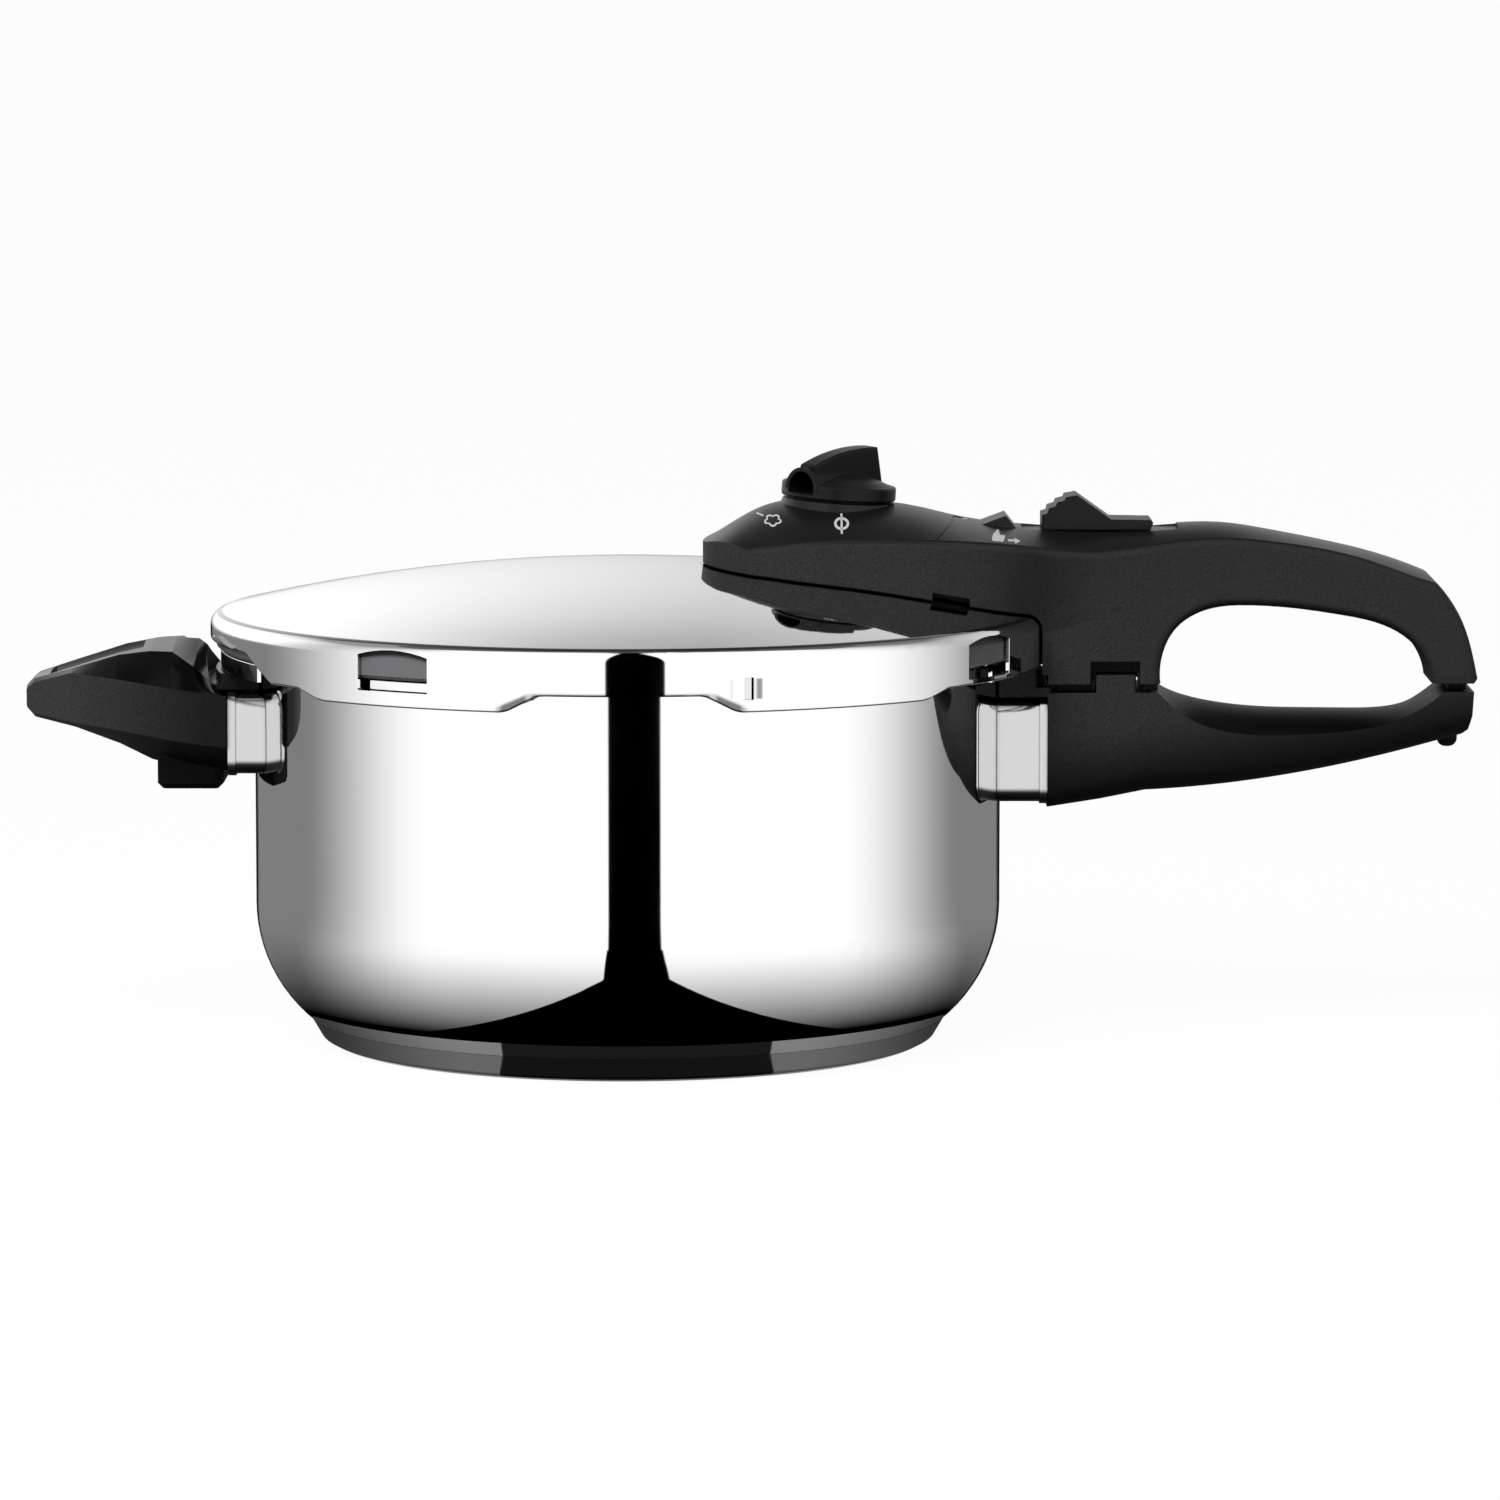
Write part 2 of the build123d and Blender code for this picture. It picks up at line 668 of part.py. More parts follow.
def handle_collar(low, high, half_width):
    """Ledge of a handle that runs over its sleeve to the pot wall, on the +X side."""
    top = rim_z - end_gap_drop - 1.4
    ledge = tube(lid_radius + 2.6, pot_radius + 0.6, low, high)
    ledge += tube(lid_radius - 1.6, pot_radius + 0.6, high - 1, top)
    return ledge & block(pot_radius - 30, lid_radius + 5, -half_width, half_width, low, top)


def pot_handle():
    """Lower long handle: keyed tab on top, scooped grip and a foot nub under the end."""
    front = side((159, 105.1), (124.6, 105.1), (124.6, 70.5), (140.3, 72.9), (153.6, 75.5))
    belly = side((153.6, 75.5), (188.9, 78.8), (220.5, 84.8), (238, 89.3))
    end = side((238, 89.3), (247.4, 91.8), (249.4, 93.6), (250.5, 98), (250.9, 105.1), (159, 105.1))
    outline = [Polyline(*front), Spline(*belly), Polyline(*end)]
    body = side_slab(outline, 40) & pot_handle_plan()
    body -= loft([scoop_section(*row) for row in scoop_stations])
    under = [e for e in edges_in(body, *shifted(124, 240, 70, 90), 14) if e.bounding_box().size.X > 10]
    body = fillet(under, 7.0)
    foot = Pos(foot_x, 0, 0) * tube(3.0, 0, rim_z - 30.3, rim_z - 22)
    body += fillet(foot.edges().sort_by(Axis.Z)[:1], 2.4)
    key = tube(key_radius + key_depth / 2, key_radius - key_depth / 2, rim_z - 16, rim_z - 7.1)
    body += key & pot_handle_plan()
    body += handle_collar(rim_z - 13.7, rim_z - 10.9, 18.0)
    dam = tube(lid_radius + 0.25, pot_radius + 0.6, rim_z - 12, lip_z - 0.1)
    body += dam & block(pot_radius, lid_radius + 5, -12, 12, 0, 200)
    body -= block(lid_radius - 2, pot_screw_x + 8.5, -8.1, 8.1, rim_z - 38.6, rim_z - 20.4)
    body -= Pos(pot_screw_x, 0, 0) * tube(2.2, 0, rim_z - 60, rim_z - 22)
    body -= Pos(pot_screw_x, 0, 0) * tube(3.9, 0, rim_z - 60, rim_z - 42.2)
    return body - block(keeper_x - 4, keeper_x + 6, -6, 6, rim_z - 11.4, rim_z - 8.0)


def lock_keeper():
    body = block(keeper_x, keeper_x + 6, -6, 6, rim_z - 11.4, rim_z - 8.0)
    return body - block(keeper_x - 1, keeper_x + 5, -3.4, 3.4, rim_z - 10.95, rim_z - 8.6)


def wall_plate(low, high, half_width, sheet):
    """Curved plate that lies on the pot wall on the +X side."""
    plate = tube(pot_radius + 0.05 + sheet, pot_radius + 0.05, low, high)
    return plate & block(pot_radius - 40, pot_radius + 20, -half_width, half_width, low, high)


def long_bracket():
    body = wall_plate(rim_z - 41.5, rim_z - 18.5, 14.5, 1.6)
    tongue = block(pot_radius - 2, pot_screw_x + 7.5, -7.8, 7.8, rim_z - 38.3, rim_z - 20.7)
    tongue -= tube(pot_radius + 0.6, 0, rim_z - 60, rim_z)
    body += fillet(tongue.edges().filter_by(Axis.X), 1.5)
    return body - Pos(pot_screw_x, 0, 0) * tube(2.05, 0, rim_z - 60, rim_z - 24)


def guard(far_x, half_width, low, high):
    """Bright sleeve between the pot wall and a handle, open towards both."""
    height = high - low
    middle = (high + low) / 2
    place = Plane.YZ.offset(pot_radius - 30) * Pos(0, middle)
    outer = extrude(place * RectangleRounded(2 * half_width, height, 5), amount=far_x - pot_radius + 30)
    hollow = RectangleRounded(2 * half_width - 2, height - 2, 4)
    inner = extrude(place * hollow, amount=far_x - pot_radius + 31)
    rim_place = Plane.YZ.offset(far_x - 2.2) * Pos(0, middle)
    ring = extrude(rim_place * RectangleRounded(2 * half_width + 1.2, height + 1.2, 5.5), amount=2.2)
    return (outer + ring) - inner - tube(pot_radius + 0.05, 0, 0, 200)


def long_guard():
    return guard(lid_radius + 0.5, 18.2, rim_z - 45.3, rim_z - 14.6)


def side_guard():
    return Rot(0, 0, 180) * guard(pot_radius + 6.2, 33.0, rim_z - 35.2, rim_z - 11.6)


def side_bracket():
    body = wall_plate(rim_z - 31.5, rim_z - 15, 24, 1.6)
    tongue = block(pot_radius - 8, pot_radius + 22, -16, 16, rim_z - 29, rim_z - 17)
    tongue -= tube(pot_radius + 0.6, 0, rim_z - 60, rim_z)
    body += fillet(tongue.edges().filter_by(Axis.X), 1.5)
    for y in (-9, 9):
        body -= Pos(side_screw_x, y, 0) * tube(2.05, 0, rim_z - 60, rim_z - 18)
    return Rot(0, 0, 180) * body


def helper_section(x, keel, keel_z, low, low_z, high, high_z, rim, rim_z_at, crown_z):
    """Cross-section of the helper handle: keel, undercut, side face, cheek and crowned top."""
    near = [(keel, keel_z), (low, low_z), (high, high_z), (rim, rim_z_at), (0, crown_z)]
    far = [(-y, z) for y, z in near[-2::-1]]
    outline = [(y, z + handle_dz) for y, z in near + far]
    return Plane.YZ.offset(x - pot_radius + 111.0) * make_face(Polyline(*outline, close=True))


# Stations of the helper: x, then half width and z of keel, low edge, high edge and rim, and crown z
helper_stations = [
    (-178.6, 5.5, 99.4, 8.0, 100.4, 8.0, 105.0, 6.0, 106.0, 106.2),
    (-176.0, 8.0, 96.9, 12.6, 98.2, 12.8, 107.6, 10.4, 108.6, 109.0),
    (-164.0, 9.5, 94.0, 19.4, 96.3, 19.8, 111.2, 15.2, 112.2, 112.8),
    (-150.5, 11.0, 89.2, 26.2, 94.8, 26.7, 110.0, 17.2, 116.3, 117.4),
    (-141.0, 13.0, 84.8, 30.0, 93.5, 30.5, 108.8, 21.0, 117.8, 119.4),
    (-134.0, 15.0, 83.2, 32.8, 92.5, 33.2, 107.8, 24.0, 117.9, 119.9),
    (-127.6, 17.0, 82.4, 34.6, 91.7, 34.9, 107.1, 25.6, 113.6, 119.5),
    (-117.4, 18.0, 82.0, 36.0, 90.6, 36.2, 106.0, 27.4, 104.6, 112.0),
]


def side_handle():
    """Short helper handle: dished top between two rims, faceted cheeks and a screw boss below."""
    body = loft([helper_section(*row) for row in helper_stations], ruled=True)
    shift = 111.0 - pot_radius
    dish = Pos(-157.5 + shift, 0, 114.6 + handle_dz) * Rot(0, -15.5, 0)
    body -= dish * Pos(0, 0, 26.5) * Rot(0, 90, 0) * Cylinder(29.5, 29)
    body -= tube(lid_radius + 1.2, 0, lip_z - 1.6, rim_z + 60)
    boss = Pos(-129.3 + shift, 0, 84.4 + handle_dz) * Box(19.6, 40, 15.6)
    boss = fillet(boss.edges().filter_by(Axis.Z), 3)
    body += chamfer(boss.faces().sort_by(Axis.Z)[0].edges(), 1.6)
    body -= Rot(0, 0, 180) * block(pot_radius, pot_radius + 22.5, -16.3, 16.3, rim_z - 29.3, rim_z - 16.7)
    body += Rot(0, 0, 180) * handle_collar(rim_z - 10.6, lip_z - 1.7, 27.0)
    for y in (-9, 9):
        hole = tube(2.2, 0, rim_z - 60, rim_z - 20) + tube(3.9, 0, rim_z - 60, rim_z - 36)
        body -= Pos(-side_screw_x, y, 0) * hole
    return body


def side_handle_screw(y):
    return screw(rim_z - 38.4, rim_z - 20, -side_screw_x, y)


def pot_handle_screw():
    return screw(rim_z - 44.6, rim_z - 26, pot_screw_x, 0)


def lid_handle_screw(y):
    return screw(rim_z - 8.6, rim_z + 7.4, screw_x, y)


def write_parts():
    os.makedirs("parts", exist_ok=True)
    makers = [
        pot_shell, base_core, base_cap, long_bracket, long_guard, pot_handle, pot_handle_screw,
        lock_keeper, side_bracket, side_guard, side_handle,
        lid_shell, gasket, lid_handle, lid_handle_plate, lid_bracket,
        valve_body, valve_nut, valve_seal, valve_plunger, valve_spring, valve_knob, lock_slide, lock_bolt,
        pressure_indicator, indicator_seal, safety_body, safety_nut, safety_stem, safety_spring,
    ]
    nodes = {maker.__name__: maker() for maker in makers}
    for number, y in ((1, -9), (2, 9)):
        nodes[f"side_handle_screw_{number}"] = side_handle_screw(y)
    for number, y in ((1, -screw_y), (2, screw_y)):
        nodes[f"lid_handle_screw_{number}"] = lid_handle_screw(y)
    for name, body in nodes.items():
        export_step(body, f"parts/{name}.step")
        print(name, len(body.solids()), round(body.volume))


if __name__ == "__main__":
    write_parts()
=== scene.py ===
import math

import bmesh
import bpy
from mathutils import Matrix, Vector
from mathutils.bvhtree import BVHTree


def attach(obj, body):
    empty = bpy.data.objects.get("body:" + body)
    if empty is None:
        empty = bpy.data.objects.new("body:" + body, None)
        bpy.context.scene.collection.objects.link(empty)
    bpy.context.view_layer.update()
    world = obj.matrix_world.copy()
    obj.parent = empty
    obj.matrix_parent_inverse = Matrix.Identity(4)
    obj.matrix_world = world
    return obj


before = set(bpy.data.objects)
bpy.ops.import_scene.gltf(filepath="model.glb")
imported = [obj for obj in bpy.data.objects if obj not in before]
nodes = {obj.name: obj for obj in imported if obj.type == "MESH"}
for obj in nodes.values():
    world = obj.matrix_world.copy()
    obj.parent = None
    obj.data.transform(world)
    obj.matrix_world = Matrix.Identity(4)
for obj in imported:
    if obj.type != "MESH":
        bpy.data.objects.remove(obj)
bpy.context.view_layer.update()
scene = bpy.context.scene
scene.view_settings.view_transform = "Standard"
print("frame loaded:", len(nodes), "nodes")


# shader helpers

def addNode(tree, kind, x, y, **settings):
    node = tree.nodes.new(kind)
    node.location = (x, y)
    for key, value in settings.items():
        setattr(node, key, value)
    return node


def feed(tree, socket, value):
    if isinstance(value, (int, float)):
        socket.default_value = value
    else:
        tree.links.new(value, socket)


def mathNode(tree, operation, x, y, first, second=None, clamp=False):
    node = addNode(tree, "ShaderNodeMath", x, y, operation=operation, use_clamp=clamp)
    feed(tree, node.inputs[0], first)
    if second is not None:
        feed(tree, node.inputs[1], second)
    return node.outputs[0]


def times(tree, x, y, first, *others):
    for count, other in enumerate(others):
        first = mathNode(tree, "MULTIPLY", x + 150 * count, y, first, other)
    return first


def mapRange(tree, x, y, value, fromMin, fromMax, toMin, toMax, smooth=False):
    node = addNode(tree, "ShaderNodeMapRange", x, y)
    if smooth:
        node.interpolation_type = "SMOOTHSTEP"
    tree.links.new(value, node.inputs["Value"])
    node.inputs["From Min"].default_value = fromMin
    node.inputs["From Max"].default_value = fromMax
    node.inputs["To Min"].default_value = toMin
    node.inputs["To Max"].default_value = toMax
    return node.outputs["Result"]


# 1 between low and high, 0 outside
def bandMask(tree, x, y, value, low, high, soft, smooth=False):
    rising = mapRange(tree, x, y + 80, value, low - soft, low + soft, 0.0, 1.0, smooth)
    falling = mapRange(tree, x, y - 80, value, high - soft, high + soft, 1.0, 0.0, smooth)
    return times(tree, x + 200, y, rising, falling)


# from 1 where the mask is empty to the tone where it is full
def shadeBy(tree, x, y, mask, tone):
    return mapRange(tree, x, y, mask, 0.0, 1.0, 1.0, tone)


def radiusNode(tree, x, y, first, second):
    squareFirst = mathNode(tree, "MULTIPLY", x - 200, y + 80, first, first)
    squareSecond = mathNode(tree, "MULTIPLY", x - 200, y - 80, second, second)
    return mathNode(tree, "SQRT", x + 100, y, mathNode(tree, "ADD", x - 50, y, squareFirst, squareSecond))


def degreesNode(tree, x, y, first, second):
    turn = mathNode(tree, "ARCTAN2", x, y, first, second)
    return mathNode(tree, "MULTIPLY", x + 150, y, turn, 180 / math.pi)


# X, Y and Z of the place on a piece, or of the way that its surface faces
def splitCoords(tree, x, y, kind):
    place = addNode(tree, "ShaderNodeTexCoord", x, y)
    split = addNode(tree, "ShaderNodeSeparateXYZ", x + 200, y)
    tree.links.new(place.outputs[kind], split.inputs[0])
    return split.outputs["X"], split.outputs["Y"], split.outputs["Z"]


def pickValue(tree, x, y, factor, first, second):
    node = addNode(tree, "ShaderNodeMix", x, y, data_type="FLOAT")
    for key, value in (("Factor", factor), ("A", first), ("B", second)):
        feed(tree, node.inputs[key], value)
    return node.outputs["Result"]


def blendColour(tree, x, y, factor, first, second):
    node = addNode(tree, "ShaderNodeMix", x, y, data_type="RGBA")
    tree.links.new(factor, node.inputs["Factor"])
    node.inputs["A"].default_value = (*first, 1)
    node.inputs["B"].default_value = (*second, 1)
    return node.outputs["Result"]


# rays that see the white studio: the camera's own, and those off or through the part
def seenNode(tree, x, y):
    path = addNode(tree, "ShaderNodeLightPath", x, y)
    seen = mathNode(tree, "MAXIMUM", x + 200, y, path.outputs["Is Camera Ray"], path.outputs["Is Glossy Ray"])
    return mathNode(tree, "MAXIMUM", x + 350, y, seen, path.outputs["Is Transmission Ray"])


def newMaterial(name):
    material = bpy.data.materials.new(name)
    material.use_nodes = True
    tree = material.node_tree
    tree.nodes.clear()
    output = addNode(tree, "ShaderNodeOutputMaterial", 600, 0)
    shader = addNode(tree, "ShaderNodeBsdfPrincipled", 300, 0)
    tree.links.new(shader.outputs[0], output.inputs["Surface"])
    return material, tree, shader


def newGroup(name, inputs, outputs):
    group = bpy.data.node_groups.new(name, "ShaderNodeTree")
    for socketName, value in inputs.items():
        socket = group.interface.new_socket(socketName, in_out="INPUT", socket_type="NodeSocketFloat")
        socket.default_value = value
    for socketName in outputs:
        group.interface.new_socket(socketName, in_out="OUTPUT", socket_type="NodeSocketFloat")
    start = addNode(group, "NodeGroupInput", -900, 0)
    end = addNode(group, "NodeGroupOutput", 700, 0)
    return group, start, end


def placeGroup(tree, group, x, y, values):
    node = addNode(tree, "ShaderNodeGroup", x, y, node_tree=group)
    for key, value in values.items():
        node.inputs[key].default_value = value
    return node


def noiseNode(group, x, y, place, scale, detail):
    node = addNode(group, "ShaderNodeTexNoise", x, y)
    node.inputs["Detail"].default_value = detail
    group.links.new(place, node.inputs["Vector"])
    group.links.new(scale, node.inputs["Scale"])
    return node


def linkMesh(name, bm):
    mesh = bpy.data.meshes.new(name)
    bm.to_mesh(mesh)
    bm.free()
    piece = bpy.data.objects.new(name, mesh)
    scene.collection.objects.link(piece)
    return piece


noiseSpan = (0.3, 0.7)  # where most of a noise texture's values lie


# moulded grain: fine spark-eroded pits with a slow variation of sheen
grainScales = {"Scale": 2600.0, "Patch Scale": 28.0}
grainDetail = {"pits": 2.0, "pitRough": 0.6, "patch": 4.0}


def makeGrainGroup():
    group, start, end = newGroup("mouldedGrain", grainScales, ("Height", "Patch"))
    place = addNode(group, "ShaderNodeTexCoord", -900, 300).outputs["Object"]
    pits = noiseNode(group, -500, 200, place, start.outputs["Scale"], grainDetail["pits"])
    pits.inputs["Roughness"].default_value = grainDetail["pitRough"]
    patch = noiseNode(group, -500, -200, place, start.outputs["Patch Scale"], grainDetail["patch"])
    group.links.new(pits.outputs["Fac"], end.inputs["Height"])
    group.links.new(patch.outputs["Fac"], end.inputs["Patch"])
    return group


# polishing lines: run round the pot's axis, so they change with radius and height
polishScales = {"Line Scale": 900.0, "Smudge Scale": 14.0}
polishDetail = {"lines": 3.0, "smudge": 5.0}
turnShare = 0.004  # and little along their length


def makePolishGroup():
    group, start, end = newGroup("polishLines", polishScales, ("Lines", "Smudge"))
    x, y, z = splitCoords(group, -900, 300, "Object")
    turn = mathNode(group, "ARCTAN2", -500, 200, y, x)
    spread = addNode(group, "ShaderNodeCombineXYZ", -100, 300)
    group.links.new(radiusNode(group, -400, 450, x, y), spread.inputs["X"])
    group.links.new(z, spread.inputs["Y"])
    group.links.new(times(group, -300, 200, turn, turnShare), spread.inputs["Z"])
    lines = noiseNode(group, 150, 300, spread.outputs[0], start.outputs["Line Scale"], polishDetail["lines"])
    place = addNode(group, "ShaderNodeTexCoord", -100, -100).outputs["Object"]
    smudge = noiseNode(group, 150, -100, place, start.outputs["Smudge Scale"], polishDetail["smudge"])
    group.links.new(lines.outputs["Fac"], end.inputs["Lines"])
    group.links.new(smudge.outputs["Fac"], end.inputs["Smudge"])
    return group


mouldedGrain = makeGrainGroup()
polishLines = makePolishGroup()


# metals: polished sheet, with painted shade in its crevices
steels = {
    "polishedSteel": {"tone": 0.93, "rough": (0.02, 0.04), "lineScale": 900.0, "lineDepth": 0.01},
    "lidSteel": {"tone": 0.93, "rough": (0.02, 0.04), "lineScale": 900.0, "lineDepth": 0.01},
    "guardSteel": {"tone": 0.62, "rough": (0.12, 0.2), "lineScale": 700.0, "lineDepth": 0.03},
    "baseSteel": {"tone": 0.6, "rough": (0.1, 0.16), "lineScale": 1600.0, "lineDepth": 0.03},
    "bracketSteel": {"tone": 0.5, "rough": (0.28, 0.4), "lineScale": 1200.0, "lineDepth": 0.06},
    "fastenerSteel": {"tone": 0.6, "rough": (0.2, 0.34), "lineScale": 2000.0, "lineDepth": 0.05},
    "springSteel": {"tone": 0.5, "rough": (0.2, 0.3), "lineScale": 2400.0, "lineDepth": 0.03},
    "coreAluminium": {"tone": 0.7, "rough": (0.35, 0.5), "lineScale": 800.0, "lineDepth": 0.05},
    "indicatorMetal": {"tone": 0.72, "rough": (0.2, 0.3), "lineScale": 1800.0, "lineDepth": 0.04},
}
smudges = {"dull": (0.97, 0.97, 0.975), "clear": (1.0, 1.0, 0.995)}
lineRelief = 0.0002
# painted shade in crevices: occlusion reach, occlusion span, darkest tone and samples
creviceShade = {"reach": 0.0022, "open": (0.35, 0.8), "tone": 0.06, "samples": 6}
guardUnderShade = {"facing": (-0.4, -0.08), "tone": 0.05}  # painted shade on the guards' faces that look down

# the lid's rolled edge: centre of the roll in radius and height,
# and the degrees up it between which a dark reflection line is painted
lidFold = {"radius": 0.1198, "height": 0.1245, "from": 57.0, "to": 81.0, "fade": 5.0, "tone": 0.2}
# where the roll's true direction is used: from this distance to its centre, and up to this angle in radians
rollSkin = {"reach": (0.004, 0.0041), "slope": (1.05, 1.25)}
# painted shade in the skirt's rounded foot, and along the edge over its front and back gaps
lipPaintedShade = {
    "footFacing": (-0.4, -0.1),
    "footTone": 0.12,
    "gapHeight": (0.1152, 0.1166),
    "gapHalf": (0.024, 0.027),
    "gapTone": 0.25,
}
# painted shade along the slanting ends of those gaps
rampPaintedShade = {
    "x": (0.0255, 0.0365),
    "z": (0.1152, 0.1103),
    "band": (0.0004, 0.0017),
    "fadeIn": 0.002,
    "fadeOut": 0.003,
    "tone": 0.2,
}
# painted soft shades at the stop nub: across the skirt from, to, and tone
nubShade = {
    "turn": -73.1,
    "height": (0.1142, 0.12),
    "soft": 0.0003,
    "parts": [(-0.0052, -0.0047, 0.75), (-0.0012, 0.0022, 0.8), (0.0024, 0.0041, 0.32)],
}


# painted dark reflection line along the lid's fold, by the angle round the roll's centre
def paintedFoldLine(tree, radius, z):
    out = mathNode(tree, "SUBTRACT", -800, 800, radius, lidFold["radius"])
    rise = mathNode(tree, "SUBTRACT", -800, 650, z, lidFold["height"])
    turn = degreesNode(tree, -650, 700, rise, out)
    band = bandMask(tree, -350, 700, turn, lidFold["from"], lidFold["to"], lidFold["fade"], smooth=True)
    return shadeBy(tree, 0, 700, band, lidFold["tone"])


# painted shade on the skirt's foot and along the edges of its gaps
def lipShade(tree, aside, z, facing):
    foot = mapRange(tree, -1000, 1100, facing, *lipPaintedShade["footFacing"], lipPaintedShade["footTone"], 1.0, smooth=True)
    band = mapRange(tree, -1000, 1300, z, *lipPaintedShade["gapHeight"], 1.0, 0.0, smooth=True)
    within = mapRange(tree, -800, 1500, aside, *lipPaintedShade["gapHalf"], 1.0, 0.0, smooth=True)
    gap = shadeBy(tree, -400, 1400, times(tree, -600, 1400, band, within), lipPaintedShade["gapTone"])
    near, far = rampPaintedShade["x"]
    line = mapRange(tree, -1000, 1700, aside, near, far, *rampPaintedShade["z"])
    over = mathNode(tree, "SUBTRACT", -800, 1700, z, line)
    ramp = mapRange(tree, -600, 1700, over, *rampPaintedShade["band"], 1.0, 0.0, smooth=True)
    start = mapRange(tree, -600, 1850, aside, near, near + rampPaintedShade["fadeIn"], 0.0, 1.0)
    end = mapRange(tree, -600, 2000, aside, far - rampPaintedShade["fadeOut"], far, 1.0, 0.0)
    slant = shadeBy(tree, -50, 1700, times(tree, -400, 1700, ramp, start, end), rampPaintedShade["tone"])
    return times(tree, 100, 1400, foot, gap, slant)


# painted soft shades beside the stop nub on the front of the skirt
def nubShades(tree, x, y, z):
    turn = math.radians(nubShade["turn"])
    soft = nubShade["soft"]
    alongX = times(tree, -1000, 2200, x, -math.sin(turn))
    alongY = times(tree, -1000, 2350, y, math.cos(turn))
    across = mathNode(tree, "ADD", -800, 2200, alongX, alongY)
    ahead = mathNode(tree, "LESS_THAN", -800, 2800, y, 0.0)
    level = times(tree, -500, 2550, bandMask(tree, -800, 2550, z, *nubShade["height"], soft), ahead)
    shades = []
    for first, last, tone in nubShade["parts"]:
        part = times(tree, -200, 2300, bandMask(tree, -500, 2300, across, first, last, soft), level)
        shades.append(shadeBy(tree, -50, 2300, part, tone))
    return times(tree, 100, 2300, *shades)


# all the painted shade on the lid: the fold's dark reflection line, the skirt's lip and the stop nub
def lidShade(tree):
    x, y, z = splitCoords(tree, -1500, 700, "Object")
    facing = splitCoords(tree, -1500, 1100, "Normal")[2]
    radius = radiusNode(tree, -1000, 800, x, y)
    aside = mathNode(tree, "ABSOLUTE", -1000, 1500, x)
    fold = paintedFoldLine(tree, radius, z)
    return times(tree, 400, 1000, fold, lipShade(tree, aside, z, facing), nubShades(tree, x, y, z))


# true direction of the rolled edge and of the skirt under it, so that the mirror shows no facets
def rollNormal(tree):
    x, y, z = splitCoords(tree, -1900, -500, "Object")
    radius = radiusNode(tree, -1500, -500, x, y)
    out = mathNode(tree, "SUBTRACT", -1300, -500, radius, lidFold["radius"])
    out = mathNode(tree, "MAXIMUM", -1200, -500, out, 0.0)
    rise = mathNode(tree, "SUBTRACT", -1300, -700, z, lidFold["height"])
    rise = mathNode(tree, "MAXIMUM", -1200, -700, rise, 0.0)
    share = mathNode(tree, "DIVIDE", -1100, -500, out, radius)
    lean = addNode(tree, "ShaderNodeCombineXYZ", -900, -600)
    tree.links.new(times(tree, -1000, -500, x, share), lean.inputs["X"])
    tree.links.new(times(tree, -1000, -600, y, share), lean.inputs["Y"])
    tree.links.new(rise, lean.inputs["Z"])
    turned = addNode(tree, "ShaderNodeVectorTransform", -750, -600, vector_type="NORMAL")
    turned.convert_from = "OBJECT"
    turned.convert_to = "WORLD"
    tree.links.new(lean.outputs[0], turned.inputs[0])
    unit = addNode(tree, "ShaderNodeVectorMath", -600, -600, operation="NORMALIZE")
    tree.links.new(turned.outputs[0], unit.inputs[0])
    reach = radiusNode(tree, -900, -900, out, rise)
    outside = mapRange(tree, -700, -900, reach, *rollSkin["reach"], 0.0, 1.0)
    slope = mathNode(tree, "ARCTAN2", -900, -1100, rise, out)
    below = mapRange(tree, -700, -1100, slope, *rollSkin["slope"], 1.0, 0.0, smooth=True)
    plain = addNode(tree, "ShaderNodeNewGeometry", -700, -1300)
    blend = addNode(tree, "ShaderNodeMix", -450, -700, data_type="VECTOR")
    tree.links.new(times(tree, -550, -900, outside, below), blend.inputs["Factor"])
    tree.links.new(plain.outputs["Normal"], blend.inputs["A"])
    tree.links.new(unit.outputs[0], blend.inputs["B"])
    return blend.outputs["Result"]


def makeSteel(name):
    values = steels[name]
    material, tree, shader = newMaterial(name)
    shader.inputs["Metallic"].default_value = 1.0
    polish = placeGroup(tree, polishLines, -700, 0, {"Line Scale": values["lineScale"]})
    dull, clear = ([values["tone"] * share for share in smudges[key]] for key in ("dull", "clear"))
    shade = blendColour(tree, -350, 250, polish.outputs["Smudge"], dull, clear)
    # painted shade: base colour darkened in the crevices that ambient occlusion finds
    shut = addNode(tree, "ShaderNodeAmbientOcclusion", -350, 500, samples=creviceShade["samples"])
    shut.inputs["Distance"].default_value = creviceShade["reach"]
    around = shut.outputs["AO"]
    paintedShade = mapRange(tree, -150, 450, around, *creviceShade["open"], creviceShade["tone"], 1.0, smooth=True)
    bump = addNode(tree, "ShaderNodeBump", 50, -300)
    if name == "lidSteel":
        paintedShade = times(tree, 0, 450, paintedShade, lidShade(tree))
        tree.links.new(rollNormal(tree), bump.inputs["Normal"])
    if name == "guardSteel":
        # painted shade on the guards' faces that look down
        facing = splitCoords(tree, -800, 800, "Normal")[2]
        under = mapRange(tree, -400, 800, facing, *guardUnderShade["facing"], guardUnderShade["tone"], 1.0, smooth=True)
        paintedShade = times(tree, 0, 450, paintedShade, under)
    tint = addNode(tree, "ShaderNodeMix", 50, 250, data_type="RGBA", blend_type="MULTIPLY")
    tint.inputs["Factor"].default_value = 1.0
    tree.links.new(shade, tint.inputs["A"])
    tree.links.new(paintedShade, tint.inputs["B"])
    tree.links.new(tint.outputs["Result"], shader.inputs["Base Color"])
    rough = mapRange(tree, -350, 0, polish.outputs["Smudge"], *noiseSpan, *values["rough"])
    tree.links.new(rough, shader.inputs["Roughness"])
    bump.inputs["Strength"].default_value = values["lineDepth"]
    bump.inputs["Distance"].default_value = lineRelief
    tree.links.new(polish.outputs["Lines"], bump.inputs["Height"])
    tree.links.new(bump.outputs[0], shader.inputs["Normal"])
    return material


steelFinish = {name: makeSteel(name) for name in steels}
